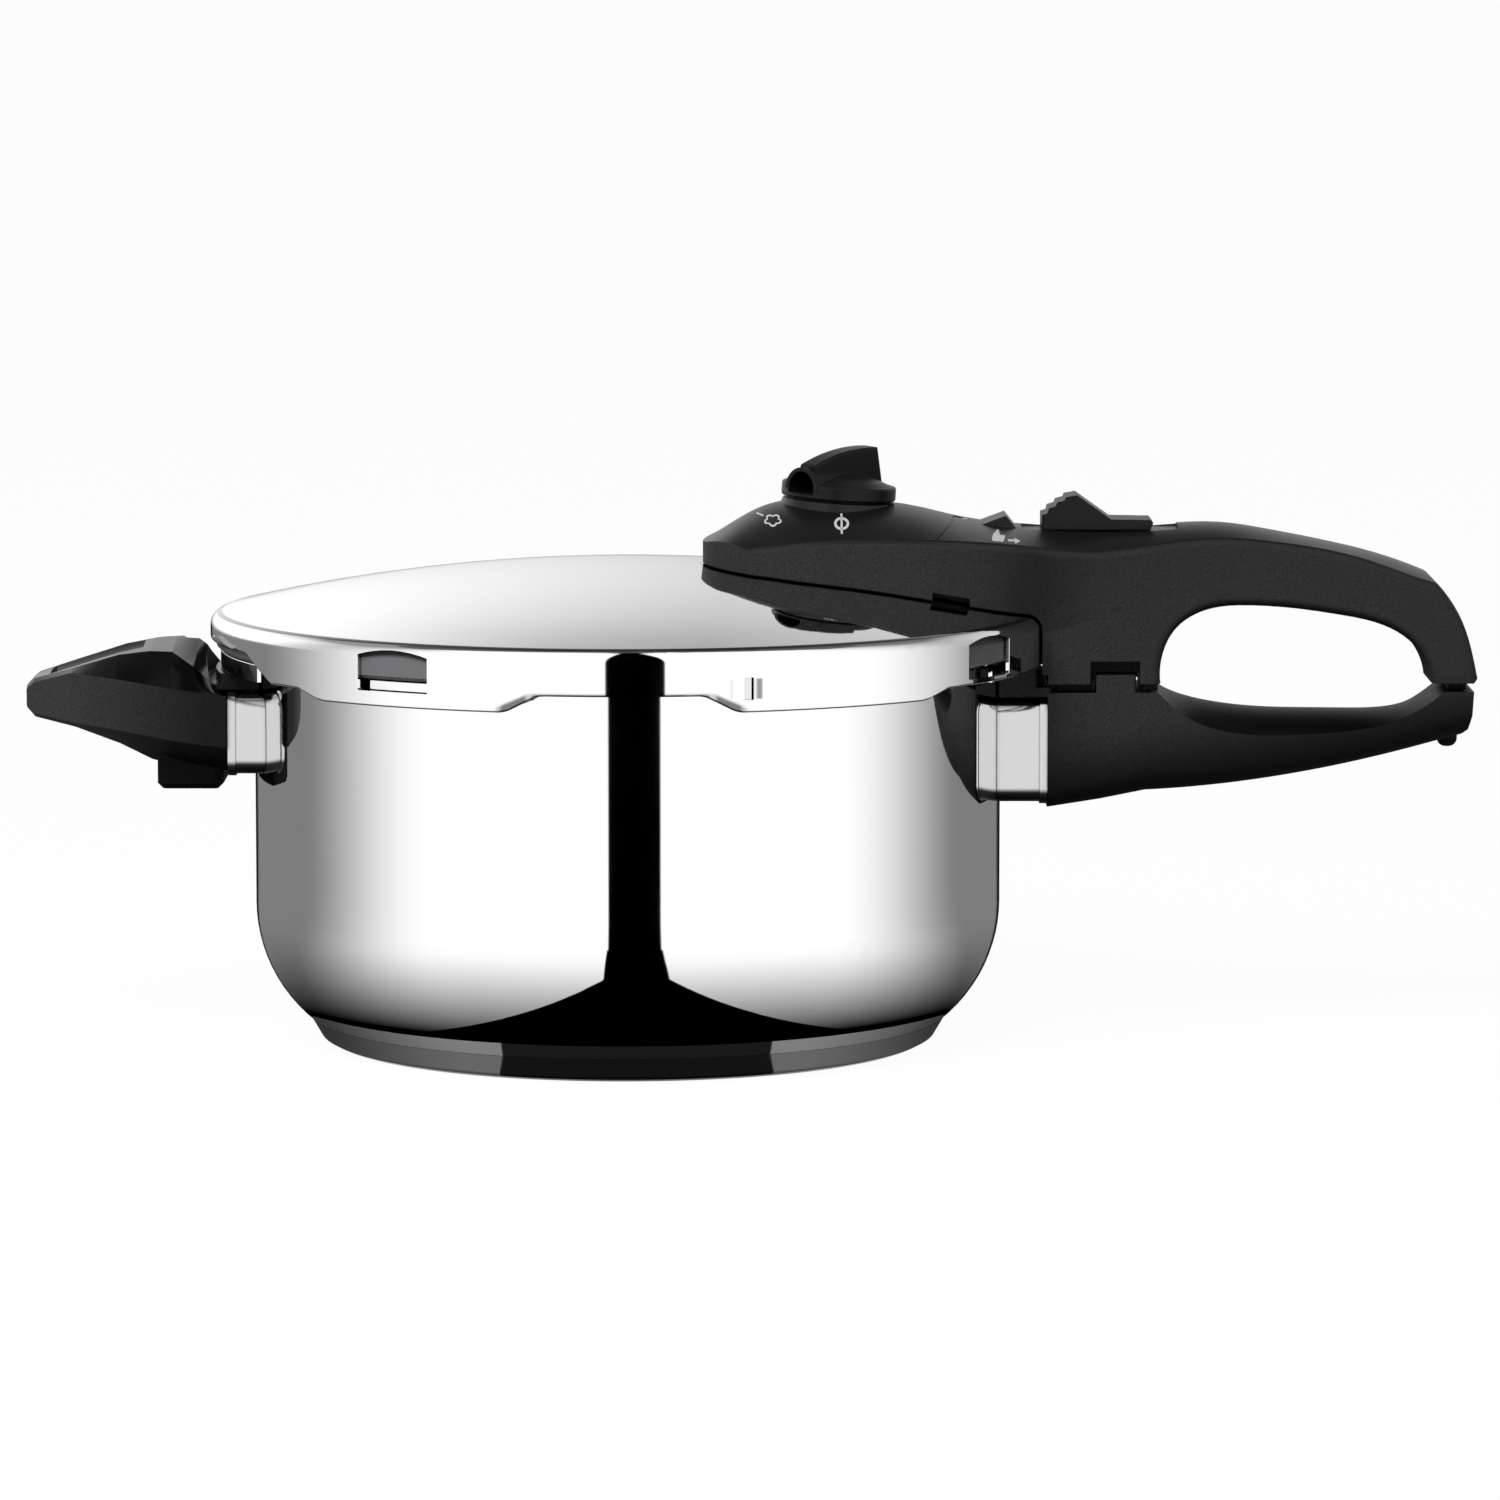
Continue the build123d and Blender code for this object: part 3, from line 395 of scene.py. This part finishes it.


# plastics: grained sides, smooth faces where the mould was polished, darker partly by that finish and partly
# by painted shade on faces that look up, softened edges
plastics = {
    "handlePlastic": {
        "side": 0.026,
        "top": 0.005,
        "rough": (0.62, 0.4),
        "grain": 0.5,
        "coat": 0.45,
        "coatRough": 0.32,
        "coatFrom": (0.105, 0.107),  # the grip of the lower handle is not polished
        # painted shade: the lower handle darkens towards its belly, by the height over a slanting line
        "belly": {"start": (0.1246, 0.0705), "slope": 0.166, "fade": (0.002, 0.024), "tone": 0.12},
    },
    "helperPlastic": {
        "side": 0.024,
        "top": 0.0008,
        "rough": (0.55, 0.3),
        "grain": 0.5,
        "coat": 0.2,
        "coatRough": 0.12,
        "crown": (0.55, 0.85),  # only faces that look up this far are fully polished
        "facetCoat": 0.1,
        "foot": (0.085, 0.089),  # painted shade: the boss below is darker
        "footTone": 0.1,
        "fall": (-0.168, -0.124, 1.5, 0.35),  # painted light and shade: lighter at the tip, darker towards the pot
    },
    "knobPlastic": {
        "side": 0.012,
        "top": 0.006,
        "rough": (0.45, 0.4),
        "grain": 0.15,
        "coat": 0.2,
        "coatRough": 0.3,
    },
}
mould = {
    "lookUp": (0.28, 0.42),  # faces that look up this far are smooth
    "smoothOver": (0.1535, 0.1539),  # and so is every face above this height
    # painted shade on faces that look down
    "lookDown": (-0.75, -0.05),
    "underShadeTone": 0.25,
    "speckle": (0.6, 1.4),
    "blue": 1.03,
    "drift": 0.04,
    "specular": 0.07,
    "relief": 0.00008,
    "smoothRelief": 0.1,
    "softEdge": 0.0007,
    "edgeSamples": 6,
}


def bellyShade(tree, belly, x, z):
    startX, startZ = belly["start"]
    run = mathNode(tree, "SUBTRACT", -1300, 600, x, startX)
    edge = mathNode(tree, "ADD", -1100, 600, times(tree, -1200, 600, run, belly["slope"]), startZ)
    over = mathNode(tree, "SUBTRACT", -1000, 700, z, edge)
    return mapRange(tree, -850, 700, over, *belly["fade"], belly["tone"], 1.0, smooth=True)


def makePlastic(name):
    values = plastics[name]
    material, tree, shader = newMaterial(name)
    grain = placeGroup(tree, mouldedGrain, -900, 0, {})
    facing = splitCoords(tree, -1100, -300, "Normal")[2]
    x, y, z = splitCoords(tree, -1100, -500, "Object")
    smoothShadedTop = mapRange(tree, -700, -300, facing, *mould["lookUp"], 0.0, 1.0, smooth=True)
    above = mapRange(tree, -700, -500, z, *mould["smoothOver"], 0.0, 1.0)
    smoothShadedTop = mathNode(tree, "MAXIMUM", -550, -400, smoothShadedTop, above)
    darkest, palest = (values["side"] * share for share in mould["speckle"])
    speckle = mapRange(tree, -700, 200, grain.outputs["Height"], *noiseSpan, darkest, palest)
    # smooth faces take the dark top tone: partly their polished finish, partly painted shade on faces that
    # look up
    tone = pickValue(tree, -450, 200, smoothShadedTop, speckle, values["top"])
    # painted shade on faces that look down
    under = mapRange(tree, -700, 400, facing, *mould["lookDown"], mould["underShadeTone"], 1.0, smooth=True)
    tone = times(tree, -400, 300, tone, under)
    coat = times(tree, -250, -150, smoothShadedTop, values["coat"])
    if "belly" in values:
        tone = times(tree, -400, 700, tone, bellyShade(tree, values["belly"], x, z))
    if "coatFrom" in values:
        coat = times(tree, -100, -150, coat, mapRange(tree, -700, 900, z, *values["coatFrom"], 0.0, 1.0))
    if "crown" in values:
        crown = mapRange(tree, -400, -150, facing, *values["crown"], values["facetCoat"], 1.0)
        coat = times(tree, -100, -150, coat, crown)
    if "foot" in values:
        # painted shade on the boss, and painted light and shade from the tip towards the pot
        foot = mapRange(tree, -700, 600, z, *values["foot"], values["footTone"], 1.0, smooth=True)
        tone = times(tree, -400, 500, tone, foot, mapRange(tree, -700, 750, x, *values["fall"]))
    tint = addNode(tree, "ShaderNodeCombineColor", -100, 200)
    for channel, gain in (("Red", 1.0), ("Green", 1.0), ("Blue", mould["blue"])):
        tree.links.new(times(tree, -250, 200, tone, gain), tint.inputs[channel])
    tree.links.new(tint.outputs[0], shader.inputs["Base Color"])
    patch = mapRange(tree, -700, 0, grain.outputs["Patch"], *noiseSpan, -mould["drift"], mould["drift"])
    rough = pickValue(tree, -450, 0, smoothShadedTop, *values["rough"])
    tree.links.new(mathNode(tree, "ADD", -250, 0, rough, patch), shader.inputs["Roughness"])
    shader.inputs["Specular IOR Level"].default_value = mould["specular"]
    tree.links.new(coat, shader.inputs["Coat Weight"])
    shader.inputs["Coat Roughness"].default_value = values["coatRough"]
    edge = addNode(tree, "ShaderNodeBevel", -250, -500, samples=mould["edgeSamples"])
    edge.inputs["Radius"].default_value = mould["softEdge"]
    bump = addNode(tree, "ShaderNodeBump", 50, -300)
    bump.inputs["Distance"].default_value = mould["relief"]
    depth = pickValue(tree, -250, -300, smoothShadedTop, values["grain"], values["grain"] * mould["smoothRelief"])
    tree.links.new(depth, bump.inputs["Strength"])
    tree.links.new(grain.outputs["Height"], bump.inputs["Height"])
    tree.links.new(edge.outputs[0], bump.inputs["Normal"])
    tree.links.new(bump.outputs[0], shader.inputs["Normal"])
    return material


plasticFinish = {name: makePlastic(name) for name in plastics}


# finishes of two close colours: the group's output that mixes them, and the one that varies their sheen
twoTones = {
    "nickelBrass": {
        "group": polishLines,
        "scales": {},
        "mix": "Smudge",
        "sheen": "Lines",
        "colours": ((0.55, 0.5, 0.41), (0.66, 0.62, 0.55)),
        "rough": (0.2, 0.34),
        "metallic": 1.0,
        "specular": 0.5,
    },
    "greySilicone": {
        "group": mouldedGrain,
        "scales": {"Scale": 900.0},
        "mix": "Patch",
        "sheen": "Height",
        "colours": ((0.1, 0.1, 0.105), (0.15, 0.15, 0.155)),
        "rough": (0.5, 0.62),
        "metallic": 0.0,
        "specular": 0.5,
    },
    "paleInk": {
        "group": mouldedGrain,
        "scales": {"Scale": 1800.0},
        "mix": "Height",
        "sheen": "Patch",
        "colours": ((0.4, 0.4, 0.4), (0.54, 0.54, 0.54)),
        "rough": (0.45, 0.6),
        "metallic": 0.0,
        "specular": 0.2,
    },
}


def makeTwoTone(name):
    values = twoTones[name]
    material, tree, shader = newMaterial(name)
    pattern = placeGroup(tree, values["group"], -400, 0, values["scales"])
    colour = blendColour(tree, 50, 150, pattern.outputs[values["mix"]], *values["colours"])
    tree.links.new(colour, shader.inputs["Base Color"])
    rough = mapRange(tree, -100, 0, pattern.outputs[values["sheen"]], *noiseSpan, *values["rough"])
    tree.links.new(rough, shader.inputs["Roughness"])
    shader.inputs["Metallic"].default_value = values["metallic"]
    shader.inputs["Specular IOR Level"].default_value = values["specular"]
    return material


twoToneFinish = {name: makeTwoTone(name) for name in twoTones}

finishes = {
    steelFinish["polishedSteel"]: ["pot_shell"],
    steelFinish["lidSteel"]: ["lid_shell"],
    steelFinish["guardSteel"]: ["long_guard", "side_guard"],
    steelFinish["baseSteel"]: ["base_cap"],
    steelFinish["coreAluminium"]: ["base_core"],
    steelFinish["bracketSteel"]: ["long_bracket", "side_bracket", "lid_bracket", "lock_bolt", "lock_keeper"],
    steelFinish["fastenerSteel"]: [name for name in nodes if "_screw" in name],
    steelFinish["springSteel"]: ["valve_spring", "safety_spring"],
    steelFinish["indicatorMetal"]: ["pressure_indicator"],
    twoToneFinish["nickelBrass"]: [
        "valve_body", "valve_nut", "valve_plunger", "safety_body", "safety_nut", "safety_stem",
    ],
    plasticFinish["handlePlastic"]: ["pot_handle", "lid_handle", "lid_handle_plate"],
    plasticFinish["helperPlastic"]: ["side_handle"],
    plasticFinish["knobPlastic"]: ["valve_knob", "lock_slide"],
    twoToneFinish["greySilicone"]: ["gasket", "valve_seal", "indicator_seal"],
}
for material, names in finishes.items():
    for name in names:
        nodes[name].data.materials.clear()
        nodes[name].data.materials.append(material)
print("finishes placed:", len(finishes))


# how a printed mark lies on the lid handle
printing = {
    "lift": 0.00006,
    "sheet": 0.00005,
    "step": 0.00035,  # longest edge of a mark's mesh
    "lean": 6.6,  # degrees that the marks are laid on from above
    "plane": -0.025,  # the flat that the marks are drawn on
    "standOff": 0.06,
    "segments": 48,
}
# pale marks, with places and sizes in millimetres
marks = {
    "puff": {"place": (43.2, 157.1), "size": (2.3, 1.75), "stroke": 0.55, "lobes": 5, "depth": 0.16},
    "tick": {"place": (39.4, 159.1), "size": (2.3, 0.5), "turn": -25.0},
    "ring": {"place": (63.4, 155.9), "size": (2.2, 2.0), "stroke": 0.75, "bar": (0.62, 6.3)},
    "hand": {
        "place": (109.5, 152.4),
        "outline": [
            (-2.0, -1.3), (-1.8, -1.75), (0.9, -2.0), (1.4, -1.9), (2.1, -0.2), (1.9, 0.1), (0.5, 0.2),
            (0.2, 0.4), (0.7, 1.4), (0.5, 1.9), (0.1, 2.05), (-0.3, 1.7), (-1.5, 0.3), (-1.9, -0.9),
        ],
    },
    "arrow": {
        "place": (114.3, 150.8),
        "outline": [(0.0, 0.95), (1.75, -0.1), (0.0, -1.05)],
        "bar": (2.2, 0.7),
        "barAt": (-0.9, 0.05),
    },
}
mm = 0.001


def longEdges(bm):
    return [edge for edge in bm.edges if edge.calc_length() > printing["step"]]


# drops a flat mark, drawn in X and Z, onto the handle
def layOn(name, bm, place):
    target = BVHTree.FromObject(nodes["lid_handle"], bpy.context.evaluated_depsgraph_get())
    lean = math.radians(printing["lean"])
    along = Vector((0, math.cos(lean), -math.sin(lean)))
    up = Vector((0, math.sin(lean), math.cos(lean)))
    middle = Vector((place[0] * mm, printing["plane"], place[1] * mm)) - along * printing["standOff"]
    while longEdges(bm):
        bmesh.ops.triangulate(bm, faces=bm.faces)
        bmesh.ops.subdivide_edges(bm, edges=longEdges(bm), cuts=1)
    for vert in bm.verts:
        start = middle + Vector((vert.co.x, 0, 0)) + up * vert.co.z
        spot, normal, face, reach = target.ray_cast(start, along)
        vert.co = spot + normal * printing["lift"]
    bmesh.ops.triangulate(bm, faces=bm.faces)
    bmesh.ops.recalc_face_normals(bm, faces=bm.faces)
    bmesh.ops.solidify(bm, geom=bm.faces, thickness=printing["sheet"])
    bmesh.ops.recalc_face_normals(bm, faces=bm.faces)
    piece = linkMesh(name, bm)
    piece.data.materials.append(twoToneFinish["paleInk"])
    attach(piece, "lid")


def flatRing(bm, size, stroke, lobes=0, depth=0.0):
    face = Matrix.Rotation(math.radians(90), 4, "X")
    loops = []
    for trim in (0.0, stroke):
        made = bmesh.ops.create_circle(bm, segments=printing["segments"], radius=1.0, matrix=face)["verts"]
        for vert in made:
            swell = 1.0
            if lobes:
                turn = math.atan2(vert.co.z, vert.co.x) - math.pi / 2
                swell = 1 - depth + 2 * depth * abs(math.sin(lobes * turn / 2))
            vert.co.x *= (size[0] * swell - trim) * mm
            vert.co.z *= (size[1] * swell - trim) * mm
        loops += [edge for edge in bm.edges if edge.verts[0] in made and edge.verts[1] in made]
    bmesh.ops.bridge_loops(bm, edges=loops)


def flatBar(bm, width, height, turn=0.0, at=(0.0, 0.0)):
    face = Matrix.Rotation(math.radians(-turn), 4, "Y") @ Matrix.Rotation(math.radians(90), 4, "X")
    shape = Matrix.Translation((at[0] * mm, 0, at[1] * mm)) @ face
    shape = shape @ Matrix.Diagonal((width / 2 * mm, height / 2 * mm, 1, 1))
    bmesh.ops.create_grid(bm, x_segments=1, y_segments=1, size=1.0, matrix=shape)


def flatShape(bm, outline):
    verts = [bm.verts.new((x * mm, 0, z * mm)) for x, z in outline]
    bmesh.ops.contextual_create(bm, geom=verts)


def makeMarks():
    for name, values in marks.items():
        bm = bmesh.new()
        if "outline" in values:
            flatShape(bm, values["outline"])
        elif "stroke" in values:
            flatRing(bm, values["size"], values["stroke"], values.get("lobes", 0), values.get("depth", 0.0))
        else:
            flatBar(bm, *values["size"], values["turn"])
        layOn("mark_" + name, bm, values["place"])
        if "bar" in values:
            bm = bmesh.new()
            flatBar(bm, *values["bar"], at=values.get("barAt", (0.0, 0.0)))
            layOn("mark_" + name + "_bar", bm, values["place"])
    print("marks laid on:", len(marks))


# camera, from the photograph's viewing angle
view = {
    "place": (0.03644, -2.27198, 0.34976),
    "pitchDown": 6.6235,
    "lens": 183.88,
    "sensor": 36.0,
    "reach": 200.0,
}


def makeCamera():
    camera = bpy.data.cameras.new("photoCamera")
    camera.sensor_fit = "HORIZONTAL"
    camera.sensor_width = view["sensor"]
    camera.lens = view["lens"]
    camera.clip_end = view["reach"]
    holder = bpy.data.objects.new("photoCamera", camera)
    holder.location = view["place"]
    holder.rotation_euler = (math.radians(90 - view["pitchDown"]), 0, 0)
    scene.collection.objects.link(holder)
    scene.camera = holder


# studio: pale floor, white world, and a light tent that only reflections see
studio = {
    "worldStrength": 0.32,
    "floorTone": 0.3,
    "floorSize": 80.0,
    "floorRough": 0.9,
    "floorGlow": 0.96,  # share of plain white in what is seen of the floor
    "keyPower": 56.0,
    "keySize": 1.3,
    "keyPlace": (-0.6, -1.5, 1.6),
    "keyAim": (0.05, 0.0, 0.1),
}


def makeWorld():
    world = bpy.data.worlds.new("studioWorld")
    scene.world = world
    world.use_nodes = True
    tree = world.node_tree
    tree.nodes.clear()
    strength = mapRange(tree, 0, 0, seenNode(tree, -600, 0), 0.0, 1.0, studio["worldStrength"], 1.0)
    back = addNode(tree, "ShaderNodeBackground", 200, 0)
    tree.links.new(strength, back.inputs["Strength"])
    output = addNode(tree, "ShaderNodeOutputWorld", 400, 0)
    tree.links.new(back.outputs[0], output.inputs["Surface"])


def makeFloor():
    bm = bmesh.new()
    bmesh.ops.create_grid(bm, x_segments=1, y_segments=1, size=studio["floorSize"])
    floor = linkMesh("studioFloor", bm)
    material, tree, shader = newMaterial("studioFloor")
    shader.inputs["Roughness"].default_value = studio["floorRough"]
    shader.inputs["Specular IOR Level"].default_value = 0.0
    seen = seenNode(tree, -300, 400)
    colour = blendColour(tree, 100, 100, seen, [studio["floorTone"]] * 3, (1, 1, 1))
    tree.links.new(colour, shader.inputs["Base Color"])
    glow = addNode(tree, "ShaderNodeEmission", 300, 300)
    blend = addNode(tree, "ShaderNodeMixShader", 500, 200)
    tree.links.new(times(tree, 200, 400, seen, studio["floorGlow"]), blend.inputs["Fac"])
    tree.links.new(shader.outputs[0], blend.inputs[1])
    tree.links.new(glow.outputs[0], blend.inputs[2])
    tree.links.new(blend.outputs[0], tree.nodes["Material Output"].inputs["Surface"])
    floor.data.materials.append(material)


# the tent's panels: angles in degrees from the front, places in metres from the pot's axis
tent = {
    "radius": 0.46,
    "height": 0.8,
    "lift": 0.0006,
    "segments": 128,
    # dark slot that the camera looks through, which widens like a bell on the floor
    "slotMiddle": 2.6,
    "slotHalf": 6.9,
    "slotSoft": 0.15,
    "bellRadius": 0.08,
    "bellSpread": 1.06,
    "bellFrom": 0.084,
    # painted shadow next to the base and under it
    "footRadius": 0.099,
    "footGap": 0.003,
    "footReach": 0.049,
    "ringHalf": 26.0,
    "ringTone": 0.2,
    "ringLeast": 0.05,
    # bright panels in front, which fade round a point before the axis
    "panelTurn": 3.2,
    "panelCentre": 0.055,
    "panelTone": 1.12,
    "sideSpan": (60.0, 116.0),
    "sideTone": 0.22,
    # behind the pot
    "rearSpan": (85.0, 120.0),
    "rearFrom": (0.08, 0.15),
    "rearHeight": 0.25,
    "rearFall": 6.6,
    "rearTone": 0.79,
    "rearLeast": 0.2,
    "rearSlope": (-0.25, 0.04, 1.65, 0.9),
    # roof
    "roofSpan": (0.0, 0.12),
    "roofTone": 0.12,
}
# two low dark bands behind the pot, which its outlines reflect
lowBands = {
    "behind": (-0.06, 0.0),
    "height": (0.085, 0.11),
    "side": 0.1,
    "nearest": 0.02,
    "beside": (-0.025, -0.01),
    "spread": (0.27, 0.4),
    "tone": 0.06,
}


def slotMask(tree, turn, radius, under):
    off = mathNode(tree, "SUBTRACT", -500, 500, turn, tent["slotMiddle"])
    off = mathNode(tree, "ABSOLUTE", -350, 500, off)
    reach = mathNode(tree, "SUBTRACT", -650, 300, radius, tent["bellRadius"])
    bell = mathNode(tree, "DIVIDE", -500, 300, tent["bellSpread"], reach)
    bell = mathNode(tree, "SUBTRACT", -350, 300, bell, tent["bellSpread"] / tent["bellFrom"])
    bell = mathNode(tree, "MAXIMUM", -200, 300, bell, 0.0)
    half = mathNode(tree, "ADD", -50, 300, bell, tent["slotHalf"])
    half = pickValue(tree, 100, 300, under, half, tent["ringHalf"])
    past = mathNode(tree, "SUBTRACT", 250, 400, off, half)
    slot = mapRange(tree, 400, 400, past, -tent["slotSoft"], tent["slotSoft"], 0.0, 1.0)
    return mathNode(tree, "MAXIMUM", 550, 400, slot, times(tree, 400, 250, under, tent["ringLeast"]))


def wallTone(tree, x, front, height):
    ahead = mathNode(tree, "SUBTRACT", -800, 50, front, tent["panelCentre"])
    fan = mathNode(tree, "SUBTRACT", -500, 50, degreesNode(tree, -700, 0, x, ahead), tent["panelTurn"])
    away = mathNode(tree, "ABSOLUTE", -350, 50, fan)
    tones = (tent["panelTone"], tent["sideTone"])
    sides = mapRange(tree, -200, 50, away, *tent["sideSpan"], *tones, smooth=True)
    rise = mathNode(tree, "SUBTRACT", -500, -150, height, tent["rearHeight"])
    rear = times(tree, -350, -150, rise, rise, -tent["rearFall"])
    rear = mathNode(tree, "ADD", -50, -150, rear, tent["rearTone"])
    rear = mathNode(tree, "MAXIMUM", 0, -150, rear, tent["rearLeast"])
    rear = times(tree, 100, -200, rear, mapRange(tree, -200, -350, x, *tent["rearSlope"]))
    raised = mapRange(tree, -200, -500, height, *tent["rearFrom"], 0.0, 1.0, smooth=True)
    turned = mapRange(tree, -200, -700, away, *tent["rearSpan"], 0.0, 1.0, smooth=True)
    return pickValue(tree, 300, 0, times(tree, 0, -550, raised, turned), sides, rear)


# painted shadow: darker towards the foot of the pot
def paintedFootShadow(tree, radius, under):
    fall = mathNode(tree, "SUBTRACT", -50, -400, tent["footRadius"] + tent["footGap"], radius)
    fall = mathNode(tree, "EXPONENT", 250, -400, times(tree, 100, -400, fall, 1 / tent["footReach"]))
    spread = mathNode(tree, "SUBTRACT", 400, -400, 1.0, fall, clamp=True)
    return pickValue(tree, 550, -300, under, spread, tent["ringTone"])


def lowBandShade(tree, x, front, height):
    behind = mapRange(tree, 300, -600, front, *lowBands["behind"], 1.0, 0.0, smooth=True)
    low = mapRange(tree, 300, -750, height, *lowBands["height"], 1.0, 0.0, smooth=True)
    past = mathNode(tree, "ABSOLUTE", -150, -900, x)
    past = mathNode(tree, "SUBTRACT", 0, -900, past, lowBands["side"])
    back = mathNode(tree, "MAXIMUM", 0, -1050, times(tree, -150, -1050, front, -1.0), lowBands["nearest"])
    slant = mathNode(tree, "DIVIDE", 150, -900, past, back)
    near = mapRange(tree, 300, -900, slant, *lowBands["spread"], 1.0, 0.0, smooth=True)
    beside = mapRange(tree, 300, -1050, past, *lowBands["beside"], 0.0, 1.0, smooth=True)
    return shadeBy(tree, 900, -700, times(tree, 450, -700, behind, low, near, beside), lowBands["tone"])


def makePanels():
    material = bpy.data.materials.new("lightTent")
    material.use_nodes = True
    material.cycles.emission_sampling = "NONE"
    tree = material.node_tree
    tree.nodes.clear()
    output = addNode(tree, "ShaderNodeOutputMaterial", 1600, 0)
    glow = addNode(tree, "ShaderNodeEmission", 1400, 0)
    tree.links.new(glow.outputs[0], output.inputs["Surface"])
    x, y, height = splitCoords(tree, -1400, 0, "Object")
    front = times(tree, -1000, -100, y, -1.0)
    radius = radiusNode(tree, -800, -300, x, front)
    under = mathNode(tree, "LESS_THAN", -350, 150, radius, tent["footRadius"])
    slot = slotMask(tree, degreesNode(tree, -800, 100, x, front), radius, under)
    walls = wallTone(tree, x, front, height)
    fall = paintedFootShadow(tree, radius, under)
    walls = times(tree, 700, 0, walls, slot, fall, lowBandShade(tree, x, front, height))
    inRoof = mathNode(tree, "GREATER_THAN", 700, -200, height, tent["height"])
    tones = (tent["roofTone"], tent["panelTone"])
    roof = mapRange(tree, 700, -350, front, *tent["roofSpan"], *tones, smooth=True)
    roof = times(tree, 850, -350, roof, slot)
    tree.links.new(pickValue(tree, 1200, 0, inRoof, walls, roof), glow.inputs["Strength"])
    return material


def makeTent():
    radius, height, lift, segments = (tent[key] for key in ("radius", "height", "lift", "segments"))
    bm = bmesh.new()
    bmesh.ops.create_cone(bm, cap_ends=False, segments=segments, radius1=radius, radius2=radius, depth=height)
    bmesh.ops.translate(bm, verts=bm.verts, vec=(0, 0, height / 2 + lift))
    for level in (lift, height + 2 * lift):
        place = Matrix.Translation((0, 0, level))
        bmesh.ops.create_circle(bm, cap_ends=True, segments=segments, radius=radius, matrix=place)
    walls = linkMesh("lightTent", bm)
    walls.data.materials.append(makePanels())
    walls.visible_camera = False
    walls.visible_diffuse = False
    walls.visible_shadow = False
    walls.visible_transmission = False


# front light for the black handles, kept out of the mirror
def makeKey():
    light = bpy.data.lights.new("softKey", "AREA")
    light.shape = "DISK"
    light.size = studio["keySize"]
    light.energy = studio["keyPower"]
    holder = bpy.data.objects.new("softKey", light)
    holder.location = studio["keyPlace"]
    aim = Vector(studio["keyAim"]) - holder.location
    holder.rotation_euler = aim.to_track_quat("-Z", "Y").to_euler()
    holder.visible_glossy = False
    scene.collection.objects.link(holder)


makeMarks()
makeCamera()
makeWorld()
makeFloor()
makeTent()
makeKey()
print("studio set")
